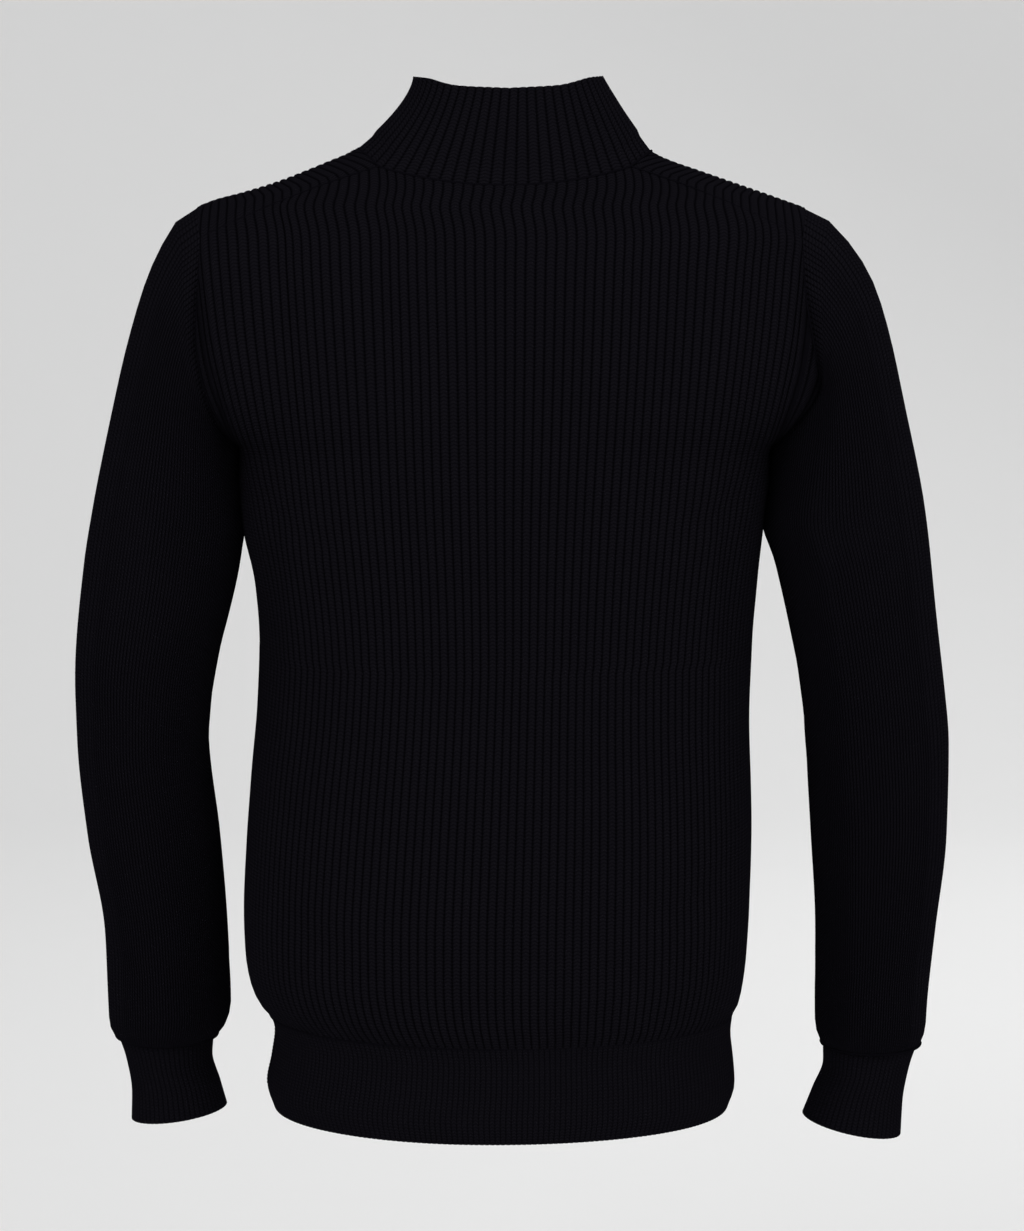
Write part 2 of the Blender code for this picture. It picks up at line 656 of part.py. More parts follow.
def sleeve_grid(wing: int) -> Array:
    """One sleeve: grid[ring, column] from the armhole to the cuff."""
    table = SLEEVE_LEFT if wing > 0 else SLEEVE_RIGHT
    first = armhole_ring(wing)
    middle_z = 0.5 * (ARMHOLE_TOP_Z + UNDERARM_Z)
    half_z = 0.5 * (ARMHOLE_TOP_Z - UNDERARM_Z)
    turn = np.arctan2(first[:, 1] / ARMHOLE_HALF_DEPTH, (first[:, 2] - middle_z) / half_z)
    top = armhole_point(0.0, wing, 1)[0]
    seam = SleeveRing(ARMHOLE[-1].front, UNDERARM_Z, abs(top[0]), top[2], ARMHOLE_HALF_DEPTH, 0.0)
    own_form = first - sleeve_ring(seam, wing, turn)
    rings = [first + np.array([wing * SEAM_GAP, 0.0, 0.0])]
    for index, ring in enumerate(table):
        keep = max(0.0, 1.0 - (index + 1.0) / CAP_BLEND_RINGS)
        rings.append(sleeve_ring(ring, wing, turn) + keep * own_form)
    return np.stack(rings)


def sleeve_normals(grid: Array) -> Array:
    """Outward normals of a sleeve, those of its first ring square to the armhole."""
    normals = outward(grid, True)
    middle_z = 0.5 * (ARMHOLE_TOP_Z + UNDERARM_Z)
    half_z = 0.5 * (ARMHOLE_TOP_Z - UNDERARM_Z)
    first = grid[0]
    square = np.stack([np.zeros(len(first)), first[:, 1] / ARMHOLE_HALF_DEPTH ** 2,
                       (first[:, 2] - middle_z) / half_z ** 2], axis=1)
    normals[0] = square / np.linalg.norm(square, axis=1, keepdims=True)
    return normals


def cuff_grid(wing: int, columns: int) -> Array:
    """One cuff: grid[ring, column] from its seam down to its open end."""
    table = CUFF_LEFT if wing > 0 else CUFF_RIGHT
    sleeve = SLEEVE_LEFT if wing > 0 else SLEEVE_RIGHT
    seam_z = sleeve[-1].inner_z - SEAM_GAP
    turn = np.linspace(0.0, 2.0 * math.pi, columns + 1)[:-1]
    rings = []
    for ring in table:
        centre_x = 0.5 * (ring.inner_x + ring.outer_x)
        half = 0.5 * (ring.outer_x - ring.inner_x)
        x = wing * (centre_x + half * np.cos(turn))
        y = CUFF_CENTRE_Y + ring.half_depth * np.sin(turn)
        z = seam_z - ring.drop - ring.tilt * np.cos(turn)
        rings.append(np.stack([x, y, z], axis=1))
    return np.stack(rings)


def neck_loop() -> Array:
    """The whole neckline through the panels' rib ends, from the left zip edge to the right."""
    half_ribs = np.arange(0, 2 * SEAM_RIBS_NECK + 1) / (2 * RIBS_FRONT)
    left = [split_boundary(share, 1, False) for share in half_ribs]
    left_back = [split_boundary(share, 1, True) for share in half_ribs[-2::-1]]
    right_back = [split_boundary(share, -1, True) for share in half_ribs[1:-1]]
    right = [split_boundary(share, -1, False) for share in half_ribs[::-1]]
    return np.array(left + left_back + right_back + right)


def collar_top(columns: int) -> Array:
    """The collar's top edge, from the left zip edge round the back to the right."""
    turns = column_of(COLLAR_TOP, "turn")
    sweep = np.linspace(180.0, -180.0, 2 * DENSE)
    size = np.abs(sweep)
    wing = np.sign(sweep)
    x = wing * smooth_row(turns, column_of(COLLAR_TOP, "reach_x"), size)
    shift = COLLAR_SHIFT_X * np.clip((180.0 - size) / 60.0, 0.0, 1.0)
    y = smooth_row(turns, column_of(COLLAR_TOP, "y"), size)
    z = smooth_row(turns, column_of(COLLAR_TOP, "z"), size)
    edge = np.stack([x + shift, y, z], axis=1)
    edge = edge[np.abs(edge[:, 0]) > ZIP_EDGE_X * (size > 120.0)]
    edge[0, 0] = ZIP_EDGE_X
    edge[-1, 0] = -ZIP_EDGE_X
    return resample(edge, np.linspace(0.0, 1.0, columns + 1))


COLLAR_ROWS = (0.0, 0.2, 0.55, 1.0)
COLLAR_LEFT_FLARE = 1.55


def collar_grid(columns: int) -> Array:
    """Collar: grid[row, column] from the neck seam to the top edge."""
    fractions = np.linspace(0.0, 1.0, columns + 1)
    foot = resample(neck_loop(), fractions) + np.array([0.0, 0.0, NECK_GAP])
    top = collar_top(columns)
    rows = []
    for height in COLLAR_ROWS:
        flare = np.where(foot[:, 0] > 0.0, COLLAR_LEFT_FLARE, 1.05)
        sideways = np.clip(np.abs(foot[:, 0]) / 0.09, 0.0, 1.0) ** 2
        power = 1.0 + (flare - 1.0) * sideways
        lean = 1.0 - (1.0 - height) ** power
        row = foot * (1.0 - height) + top * height
        row[:, 0] = foot[:, 0] * (1.0 - lean) + top[:, 0] * lean
        row[:, 1] = foot[:, 1] * (1.0 - lean) + top[:, 1] * lean
        rows.append(row)
    return np.stack(rows)


# ---------------------------------------------------------------- walls
class WallSpec(NamedTuple):
    """How a grid becomes a wall."""

    closed: bool
    thick: float
    rib: float
    inner_step: int
    first_rim: tuple[float, float, float] | None
    last_rim: tuple[float, float, float] | None
    plain_rows: int
    fine_rims: tuple[bool, bool]


def grid_steps(grid: Array, closed: bool) -> tuple[Array, Array]:
    """Steps across and up between each point's neighbours in a grid."""
    up = np.empty_like(grid)
    up[1:-1] = grid[2:] - grid[:-2]
    up[0] = grid[1] - grid[0]
    up[-1] = grid[-1] - grid[-2]
    if closed:
        across = np.roll(grid, -1, axis=1) - np.roll(grid, 1, axis=1)
    else:
        across = np.empty_like(grid)
        across[:, 1:-1] = grid[:, 2:] - grid[:, :-2]
        across[:, 0] = grid[:, 1] - grid[:, 0]
        across[:, -1] = grid[:, -1] - grid[:, -2]
    return across, up


def grid_normals(grid: Array, closed: bool) -> Array:
    """Unit normals of a grid of points, from its row and column directions."""
    across, up = grid_steps(grid, closed)
    normal = np.cross(across, up)
    length = np.linalg.norm(normal, axis=2, keepdims=True)
    return normal / np.maximum(length, 1e-12)


def rib_heights(grid: Array, spec: "WallSpec") -> Array:
    """Height of every point over the grid: each second column is a rib, lower where they crowd."""
    across, up = grid_steps(grid, spec.closed)
    area = np.linalg.norm(np.cross(across, up), axis=2)
    pitch = 0.5 * area / np.maximum(np.linalg.norm(up, axis=2), 1e-9)
    room = np.clip((pitch - RIB_CROWDED) / (RIB_CLEAR - RIB_CROWDED), 0.0, 1.0)
    height = np.zeros(grid.shape[:2])
    height[:, 1::2] = spec.rib * room[:, 1::2]
    height[:spec.plain_rows] = 0.0
    if spec.fine_rims[1]:
        height[-1] = 0.0
    return height


def clamp_rim(offset: Array, towards: tuple[float, float, float] | None) -> Array:
    """Keep a rim's offsets on their own side of the seam, at their own length."""
    if towards is None:
        return offset
    heading = np.array(towards)
    length = np.linalg.norm(offset, axis=1, keepdims=True)
    crossing = np.maximum(offset @ heading, 0.0)
    held = offset - crossing[:, None] * heading
    return held / np.linalg.norm(held, axis=1, keepdims=True) * length


def rim_faces(outer: list, inner: list, step: int, flip: bool) -> list:
    """Faces that join a fine outer edge to a coarse inner edge."""
    faces = []
    for index in range(len(inner) - 1):
        near = inner[index]
        far = inner[index + 1]
        chain = outer[index * step:(index + 1) * step + 1]
        half = step // 2
        for place in range(step):
            hub = near if place < half else far
            faces.append((hub, chain[place], chain[place + 1]))
        faces.append((near, chain[half], far))
    return [face[::-1] if flip else face for face in faces]


def drop_unused(points: list, faces: list) -> tuple[list, list]:
    """Leave out points that no face uses."""
    used = sorted({index for face in faces for index in face})
    place = {index: new for new, index in enumerate(used)}
    kept = [points[index] for index in used]
    return kept, [tuple(place[index] for index in face) for face in faces]


def wall_mesh(grid: Array, normals: Array, spec: WallSpec) -> tuple[list, list]:
    """Vertices and faces of a wall, ribbed outside and plain inside.

    The inner grid keeps every inner_step-th column. A fine rim keeps all its columns.
    """
    row_count, column_count = grid.shape[:2]
    last = row_count - 1
    outer = grid + normals * rib_heights(grid, spec)[:, :, None]
    offset = -normals * spec.thick
    offset[0] = clamp_rim(offset[0], spec.first_rim)
    offset[-1] = clamp_rim(offset[-1], spec.last_rim)
    inner = grid + offset
    points = [tuple(place) for place in np.concatenate([outer, inner]).reshape(-1, 3)]
    across = column_count if spec.closed else column_count - 1

    def outer_row(row: int) -> list:
        return [row * column_count + column % column_count for column in range(across + 1)]

    def inner_row(row: int, step: int) -> list:
        start = (row_count + row) * column_count
        return [start + column % column_count for column in range(0, across + 1, step)]

    faces = []
    for row in range(last):
        faces += strip_faces(outer_row(row), outer_row(row + 1))
    coarse = [inner_row(row, spec.inner_step) for row in range(row_count)]
    for row in range(last):
        fine_low = row == 0 and spec.fine_rims[0]
        fine_high = row == last - 1 and spec.fine_rims[1]
        if fine_low:
            faces += rim_faces(inner_row(0, 1), coarse[1], spec.inner_step, True)
        elif fine_high:
            faces += rim_faces(inner_row(last, 1), coarse[last - 1], spec.inner_step, False)
        else:
            faces += strip_faces(coarse[row + 1], coarse[row])
    for row, fine in ((0, spec.fine_rims[0]), (last, spec.fine_rims[1])):
        outer_ids = outer_row(row)
        if not fine:
            faces += rim_faces(outer_ids, coarse[row], spec.inner_step, row == 0)
        elif row == 0:
            faces += strip_faces(inner_row(row, 1), outer_ids)
        else:
            faces += strip_faces(outer_ids, inner_row(row, 1))
    if not spec.closed:
        for column in (0, -1):
            for row in range(last):
                faces.append((outer_row(row)[column], inner_row(row, 1)[column],
                              inner_row(row + 1, 1)[column], outer_row(row + 1)[column]))
    return drop_unused(points, faces)


def strip_faces(low: list, high: list) -> list:
    """Four-sided faces between two rows of the same length."""
    return [(low[i], low[i + 1], high[i + 1], high[i]) for i in range(len(low) - 1)]


def add_mesh(name: str, points: list, faces: list, finish: tuple) -> bpy.types.Object:
    """One named object from points and faces, closed and facing out."""
    mesh = bpy.data.meshes.new(name)
    mesh.from_pydata(points, [], faces)
    mesh.validate()
    shape = bmesh.new()
    shape.from_mesh(mesh)
    bmesh.ops.triangulate(shape, faces=shape.faces)
    bmesh.ops.recalc_face_normals(shape, faces=shape.faces)
    shape.to_mesh(mesh)
    shape.free()
    mesh.shade_smooth()
    mesh.set_sharp_from_angle(angle=math.radians(40.0))
    return link_object(name, mesh, finish)


def link_object(name: str, mesh: bpy.types.Mesh, finish: tuple) -> bpy.types.Object:
    """Link a mesh as an object with its own material."""
    label, colour, roughness, metallic = finish
    material = bpy.data.materials.new(f"{name}_{label}")
    material.use_nodes = True
    shader = material.node_tree.nodes["Principled BSDF"]
    shader.inputs["Base Color"].default_value = (*colour, 1.0)
    shader.inputs["Roughness"].default_value = roughness
    shader.inputs["Metallic"].default_value = metallic
    mesh.materials.append(material)
    piece = bpy.data.objects.new(name, mesh)
    bpy.context.scene.collection.objects.link(piece)
    return piece


def outward(grid: Array, closed: bool) -> Array:
    """Grid normals of a tube, turned away from the middle of its rings."""
    normals = grid_normals(grid, closed)
    away = np.sum(normals * (grid - grid.mean(axis=1, keepdims=True)), axis=2)
    return normals if np.median(away) > 0.0 else -normals


def build_wall(name: str, grid: Array, normals: Array, spec: WallSpec, finish: tuple) -> None:
    """Make a wall object on a grid and its outward normals."""
    points, faces = wall_mesh(grid, normals, spec)
    add_mesh(name, points, faces, finish)


class ZipEdge(NamedTuple):
    """A panel's edge beside the zip, row by row."""

    face: Array
    normal: Array
    inner_edge: Array
    inner_next: Array


def zip_edge(grid: Array, normals: Array, spec: WallSpec, from_end: bool) -> ZipEdge:
    """The first columns of a panel, or its last ones, with its wall's inner points."""
    offset = -normals * spec.thick
    offset[0] = clamp_rim(offset[0], spec.first_rim)
    offset[-1] = clamp_rim(offset[-1], spec.last_rim)
    inner = grid + offset
    edge = -1 if from_end else 0
    beside = -1 - spec.inner_step if from_end else spec.inner_step
    return ZipEdge(grid[:, edge], normals[:, edge], inner[:, edge], inner[:, beside])


# ---------------------------------------------------------------- zip
class ZipLine(NamedTuple):
    """The cloth's edge beside the zip, from the hem's foot to the collar's top."""

    length: Array
    face: Array
    normal: Array
    inner_edge: Array
    inner_next: Array


SLIDER_LOW = 0.0050
SLIDER_HIGH = 0.0045
SLIDER_DROP = 0.0085
TAPE_SPLIT = (0.0093, 0.0083)
CHAIN_DROP = 0.0092
STOP_DROP = 0.0037
STOP_LENGTH = 0.0022
TAPE_PARTED_X = 0.0022
ZIP_FOOT = 0.0010
BOX_LENGTH = 0.0080
CHAIN_START = 0.0100
TAPE_FACE = WALL_BODY + SEAM_GAP
TAPE_BACK = TAPE_FACE + ZIP_TAPE_THICK
CHAIN_BACK = TAPE_FACE - SEAM_GAP
CHAIN_FRONT = CHAIN_BACK - ZIP_CHAIN_THICK
ZIP_MIDDLE = 0.5 * (CHAIN_FRONT + TAPE_BACK)
ZIP_HALF = 0.5 * (TAPE_BACK - CHAIN_FRONT)


def zip_line(edges: list[ZipEdge]) -> ZipLine:
    """Join the zip edges of hem, front and collar into one line."""
    face = np.vstack([edge.face for edge in edges])
    normal = np.vstack([edge.normal for edge in edges])
    inner_edge = np.vstack([edge.inner_edge for edge in edges])
    inner_next = np.vstack([edge.inner_next for edge in edges])
    keep = [0]
    for index in range(1, len(face)):
        if np.linalg.norm(face[index] - face[keep[-1]]) > 0.002:
            keep.append(index)
    normal = normal[keep]
    normal[:, 0] = 0.0
    normal = normal / np.linalg.norm(normal, axis=1, keepdims=True)
    steps = np.linalg.norm(np.diff(face[keep], axis=0), axis=1)
    length = np.concatenate([[0.0], np.cumsum(steps)])
    return ZipLine(length, face[keep], normal, inner_edge[keep], inner_next[keep])


def cut_line(line: ZipLine, marks: list[float]) -> ZipLine:
    """The part of a zip line between its first and last mark, with a row at each mark."""
    inside = [value for value in line.length if marks[0] < value < marks[-1]
              and min(abs(value - mark) for mark in marks) > 0.0015]
    wanted = np.array(sorted([*marks, *inside]))

    def read(values: Array) -> Array:
        return np.stack([np.interp(wanted, line.length, values[:, i]) for i in range(3)], axis=1)

    normal = read(line.normal)
    normal = normal / np.linalg.norm(normal, axis=1, keepdims=True)
    return ZipLine(wanted, read(line.face), normal, read(line.inner_edge), read(line.inner_next))


def bar_mesh(name: str, rows: list, finish: tuple) -> None:
    """A closed bar through rows of corner points."""
    count = len(rows[0])
    points = [tuple(corner) for row in rows for corner in row]
    faces = [tuple(range(count)), tuple(range(len(points) - 1, len(points) - count - 1, -1))]
    for row in range(len(rows) - 1):
        for corner in range(count):
            after = (corner + 1) % count
            low = row * count
            faces.append((low + corner, low + after, low + count + after, low + count + corner))
    add_mesh(name, points, faces, finish)


def build_chain(label: str, wing: int, line: ZipLine) -> None:
    """One side's row of teeth, as a plain bar beside the middle plane."""
    top = line.length[-1]
    part = cut_line(line, [CHAIN_START, top - CHAIN_DROP])
    rows = []
    for place, normal in zip(part.face, part.normal):
        corners = []
        for x, depth in ((SEAM_HALF_GAP, CHAIN_FRONT), (ZIP_CHAIN_HALF, CHAIN_FRONT),
                         (ZIP_CHAIN_HALF, CHAIN_BACK), (SEAM_HALF_GAP, CHAIN_BACK)):
            corner = place - normal * depth
            corners.append((wing * x, corner[1], corner[2]))
        rows.append(corners)
    bar_mesh(f"zip_chain_{label}", rows, DARK_METAL)


def build_tape(label: str, wing: int, line: ZipLine) -> None:
    """One side's tape, behind the cloth's inner face and parted round the slider's wedge."""
    top = line.length[-1]
    marks = [ZIP_FOOT, top - TAPE_SPLIT[0], top - TAPE_SPLIT[1], top - ZIP_FOOT]
    part = cut_line(line, marks)
    rows = []
    for index, length in enumerate(part.length):
        parted = length > top - TAPE_SPLIT[0] + 0.0001
        edge = part.inner_edge[index]
        beside = part.inner_next[index]
        reach = (ZIP_TAPE_X - abs(edge[0])) / (abs(beside[0]) - abs(edge[0]))
        outer = edge + (beside - edge) * reach
        inner = np.array([wing * (TAPE_PARTED_X if parted else SEAM_HALF_GAP), edge[1], edge[2]])
        near = part.normal[index] * SEAM_GAP
        far = part.normal[index] * (SEAM_GAP + ZIP_TAPE_THICK)
        rows.append([inner - near, edge - near, outer - near,
                     outer - far, edge - far, inner - far])
    bar_mesh(f"zip_tape_{label}", rows, TAPE_CLOTH)


def placed(point: Vector, along: Vector, out: Vector) -> Callable[[float, float, float], tuple]:
    """Map (x, along, out) to the object's frame."""
    return lambda x, s, n: tuple(Vector((x, 0.0, 0.0)) + point + along * s + out * n)


def prism(name: str, outline: list, span: tuple[float, float], plane: str, place: Callable,
          finish: tuple) -> bpy.types.Object:
    """Extrude a closed outline: plane 'xs' spans out, plane 'sn' spans x."""
    points = []
    for level in span:
        for first, second in outline:
            if plane == "xs":
                points.append(place(first, second, level))
            elif plane == "xn":
                points.append(place(first, level, second))
            else:
                points.append(place(level, first, second))
    count = len(outline)
    faces = [tuple(range(count)), tuple(range(2 * count - 1, count - 1, -1))]
    for index in range(count):
        after = (index + 1) % count
        faces.append((index, after, count + after, count + index))
    return add_mesh(name, points, faces, finish)


def fuse(base: bpy.types.Object, other: bpy.types.Object, operation: str) -> None:
    """Apply one exact Boolean and remove the other solid."""
    step = base.modifiers.new(other.name, "BOOLEAN")
    step.operation = operation
    step.solver = "EXACT"
    step.object = other
    depsgraph = bpy.context.evaluated_depsgraph_get()
    base.data = bpy.data.meshes.new_from_object(base.evaluated_get(depsgraph))
    base.modifiers.clear()
    bpy.data.objects.remove(other)


def join_solids(base: bpy.types.Object, others: list) -> None:
    """Fuse solids into the base."""
    for other in others:
        fuse(base, other, "UNION")


SLIDER_HALF_X = 0.0048
SLIDER_LIP = 0.0011
SLIDER_INSIDE = ZIP_HALF + 0.0003
SLIDER_FACE = SLIDER_INSIDE + 0.0011
TAB_HEIGHT = 0.0012


def build_slider(place: Callable) -> None:
    """Slider: two plates round the chain and tapes, a wedge between them, and a bridge."""
    lip_x = SLIDER_HALF_X - SLIDER_LIP
    lip_end = -0.0004
    front_outline = [(-SLIDER_HALF_X, lip_end), (-SLIDER_HALF_X, SLIDER_FACE),
                     (SLIDER_HALF_X, SLIDER_FACE), (SLIDER_HALF_X, lip_end),
                     (lip_x, lip_end), (lip_x, SLIDER_INSIDE),
                     (-lip_x, SLIDER_INSIDE), (-lip_x, lip_end)]
    back_outline = [(-SLIDER_HALF_X, -SLIDER_FACE), (-SLIDER_HALF_X, -SLIDER_INSIDE),
                    (SLIDER_HALF_X, -SLIDER_INSIDE), (SLIDER_HALF_X, -SLIDER_FACE)]
    span = (-SLIDER_LOW, SLIDER_HIGH)
    front = prism("zip_slider", front_outline, span, "xn", place, DARK_METAL)
    back = prism("slider_back", back_outline, span, "xn", place, DARK_METAL)
    wedge_top = SLIDER_HIGH - 0.0001
    wedge_outline = [(0.0, 0.0010), (0.0013, 0.0030), (0.0009, wedge_top),
                     (-0.0009, wedge_top), (-0.0013, 0.0030)]
    wedge_reach = SLIDER_INSIDE + 0.0004
    wedge = prism("slider_wedge", wedge_outline, (-wedge_reach, wedge_reach), "xs", place,
                  DARK_METAL)
    root = SLIDER_FACE - 0.0003
    bridge_outline = [(-0.0028, root), (-0.0028, SLIDER_FACE + 0.0022),
                      (-0.0018, SLIDER_FACE + 0.0033), (0.0018, SLIDER_FACE + 0.0033),
                      (0.0028, SLIDER_FACE + 0.0022), (0.0028, root),
                      (0.0017, root), (0.0017, SLIDER_FACE + 0.0020),
                      (0.0013, SLIDER_FACE + 0.0024), (-0.0013, SLIDER_FACE + 0.0024),
                      (-0.0017, SLIDER_FACE + 0.0020), (-0.0017, root)]
    bridge = prism("slider_bridge", bridge_outline, (-0.0011, 0.0011), "sn", place, DARK_METAL)
    join_solids(front, [back, wedge, bridge])


def build_tab(place: Callable) -> None:
    """Pull tab: an eye round the bridge and a tapered plate, hanging down the zip."""
    half = 0.0006
    bar = 0.0006
    eye_x = 0.0016
    leg_x = 0.0028
    eye_end = -0.0042
    plate_x = 0.0036
    tip = -0.0240
    side = [(0.0022, bar), (leg_x, bar - 0.0006), (leg_x, eye_end), (plate_x, eye_end - 0.0040),
            (plate_x, tip + 0.0014), (0.0024, tip)]
    outline = side + [(-x, s) for x, s in reversed(side)]
    tab = prism("zip_pull_tab", outline, (-half, half), "xs", place, DARK_METAL)
    hole = [(-eye_x, -bar), (-eye_x, eye_end), (eye_x, eye_end), (eye_x, -bar)]
    eye = prism("tab_eye", hole, (-3 * half, 3 * half), "xs", place, DARK_METAL)
    fuse(tab, eye, "DIFFERENCE")


def build_hardware(line: ZipLine) -> None:
    """Slider, pull tab, top stops and foot box, set on the middle of the zip."""
    total = line.length[-1]
    top = cut_line(line, [total - 0.0200, total - SLIDER_DROP])
    along, out = zip_frame(top)
    point = Vector((0.0, *top.face[-1][1:])) - out * ZIP_MIDDLE
    build_slider(placed(point, along, out))
    hinge = point + out * (SLIDER_FACE + TAB_HEIGHT)
    build_tab(placed(hinge, along, out))
    on_tape = -(TAPE_FACE - ZIP_MIDDLE) + SEAM_GAP
    for label, wing in (("left", 1), ("right", -1)):
        edges = sorted((wing * 0.0025, wing * 0.0044))
        low = SLIDER_DROP - STOP_DROP
        outline = [(edges[0], low), (edges[1], low), (edges[1], low + STOP_LENGTH),
                   (edges[0], low + STOP_LENGTH)]
        prism(f"zip_stop_{label}", outline, (on_tape, 0.0010), "xs", placed(point, along, out),
              DARK_METAL)
    foot = cut_line(line, [ZIP_FOOT, 0.0200])
    low_along, low_out = zip_frame(foot)
    low_point = Vector((0.0, *foot.face[0][1:])) - low_out * ZIP_MIDDLE
    half = ZIP_CHAIN_HALF + 0.0004
    outline = [(-half, 0.0), (half, 0.0), (half, BOX_LENGTH), (-half, BOX_LENGTH)]
    prism("zip_box", outline, (on_tape, ZIP_HALF + 0.0002), "xs",
          placed(low_point, low_along, low_out), DARK_METAL)


def zip_frame(part: ZipLine) -> tuple[Vector, Vector]:
    """Directions up along a straight part of the zip, and out of it."""
    run = part.face[-1] - part.face[0]
    along = Vector((0.0, run[1], run[2])).normalized()
    out = along.cross(Vector((1.0, 0.0, 0.0)))
    if out.dot(Vector(part.normal[-1])) < 0.0:
        out = -out
    return along, out


# ---------------------------------------------------------------- the cardigan
def clear_scene() -> None:
    """Remove what the scene holds."""
    for item in list(bpy.data.objects):
        bpy.data.objects.remove(item)


def build_body() -> None:
    """Back, fronts, hem bands, collar and zip."""
    up = (0.0, 0.0, 1.0)
    down = (0.0, 0.0, -1.0)
    body = WallSpec(False, WALL_BODY, RIB_BODY, 8, down, None, 0, (False, True))
    back = back_grid(2 * RIBS_BACK)
    build_wall("back", back, body_normals(back), body, FLESH)
    hem = WallSpec(False, WALL_TRIM, RIB_TRIM, 8, None, up, 0, (False, False))
    band = hem_grid(2 * RIBS_HEM_BACK, 1, None)
    build_wall("hem_back", band, body_normals(band), hem, TRIM_KNIT)
    collar_wall = WallSpec(False, WALL_TRIM, RIB_COLLAR, 4, down, None, 2, (True, False))
    collar = collar_grid(2 * RIBS_COLLAR)
    collar_normals = outward(collar, False)
    build_wall("collar", collar, collar_normals, collar_wall, TRIM_KNIT)
    front_wall = body._replace(inner_step=6)
    for label, wing in (("left", 1), ("right", -1)):
        front = front_grid(2 * RIBS_FRONT, wing)
        front_normals = body_normals(front)
        build_wall(f"front_{label}", front, front_normals, front_wall, FLESH)
        band = hem_grid(2 * RIBS_HEM_FRONT + 6, -1, wing * ZIP_EDGE_X)
        band_normals = body_normals(band)
        build_wall(f"hem_front_{label}", band, band_normals, hem, TRIM_KNIT)
        line = zip_line([zip_edge(band, band_normals, hem, False),
                         zip_edge(front, front_normals, front_wall, False),
                         zip_edge(collar, collar_normals, collar_wall, wing < 0)])
        build_tape(label, wing, line)
        build_chain(label, wing, line)
        if wing > 0:
            build_hardware(line)


def elbow_split(grid: Array) -> int:
    """The sleeve's ring at its elbow, where its upper and lower nodes part."""
    return int(np.argmin(np.abs(grid[:, :, 2].mean(axis=1) - ELBOW_Z)))


def build_sleeves() -> None:
    """Sleeves, each in an upper and a lower node, and cuffs of both arms."""
    up = (0.0, 0.0, 1.0)
    down = (0.0, 0.0, -1.0)
    half_gap = np.array([0.0, 0.0, 0.5 * SEAM_GAP])
    for label, wing in (("left", 1), ("right", -1)):
        to_body = (-float(wing), 0.0, 0.0)
        grid = sleeve_grid(wing)
        normals = sleeve_normals(grid)
        split = elbow_split(grid)
        upper, lower = grid[:split + 1].copy(), grid[split:].copy()
        upper[-1] += half_gap
        lower[0] -= half_gap
        spec = WallSpec(True, WALL_BODY, 0.0, 2, to_body, down, 0, (True, False))
        build_wall(f"upper_sleeve_{label}", upper, normals[:split + 1], spec, FLESH)
        spec = WallSpec(True, WALL_BODY, 0.0, 2, up, down, 0, (False, False))
        build_wall(f"lower_sleeve_{label}", lower, normals[split:], spec, FLESH)
        cuff = WallSpec(True, WALL_TRIM, RIB_TRIM, 4, up, None, 0, (False, False))
        grid = cuff_grid(wing, 2 * RIBS_CUFF)
        build_wall(f"cuff_{label}", grid, outward(grid, True), cuff, TRIM_KNIT)


def main() -> None:
    """Build the cardigan."""
    clear_scene()
    build_body()
    build_sleeves()


main()
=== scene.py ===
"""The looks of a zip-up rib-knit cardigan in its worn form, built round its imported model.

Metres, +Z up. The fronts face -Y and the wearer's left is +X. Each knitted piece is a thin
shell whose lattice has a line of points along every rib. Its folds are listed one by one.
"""

import logging
import math
from dataclasses import dataclass, field
from enum import Enum
from typing import NamedTuple

import bmesh
import bpy
import numpy as np
from mathutils import Matrix, Vector


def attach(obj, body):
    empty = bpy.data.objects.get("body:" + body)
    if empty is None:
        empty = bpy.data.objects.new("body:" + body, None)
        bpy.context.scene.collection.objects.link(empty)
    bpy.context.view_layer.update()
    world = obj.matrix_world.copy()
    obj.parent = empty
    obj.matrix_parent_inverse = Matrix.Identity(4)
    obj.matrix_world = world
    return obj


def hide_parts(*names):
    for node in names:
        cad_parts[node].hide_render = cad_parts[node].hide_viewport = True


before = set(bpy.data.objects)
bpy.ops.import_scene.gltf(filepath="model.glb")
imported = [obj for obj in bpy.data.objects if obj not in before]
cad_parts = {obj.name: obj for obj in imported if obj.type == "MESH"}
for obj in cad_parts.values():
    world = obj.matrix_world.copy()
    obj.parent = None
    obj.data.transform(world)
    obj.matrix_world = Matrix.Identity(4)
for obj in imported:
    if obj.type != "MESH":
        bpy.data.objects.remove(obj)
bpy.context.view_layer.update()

logging.basicConfig(level=logging.INFO, format="%(name)s: %(message)s")
LOG = logging.getLogger("cardigan")

Array = np.ndarray
Piece = bpy.types.Object

RIBS_BACK = 84
RIBS_FRONT = 42
RIBS_COLLAR = 76
SEAM_RIBS_SHOULDER = 32
SEAM_RIBS_NECK = 13

HEM_BOTTOM_Z = -0.6600
HEM_SEAM_Z = -0.5927
UNDERARM_Z = -0.1970
FAN_Z = -0.3400
CREST_ZONE_Z = -0.1000
SEAM_HALF_GAP = 0.0002
SEAM_GAP = 0.0003
WALL = 0.0018
ZIP_EDGE_X = 0.0054
ARMHOLE_TOP_Z = -0.0350
ARMHOLE_HALF_DEPTH = 0.066

DENSE = 480
LEVELS = 160
CLIMB_STEPS = 90
UV_NAME = "knit"


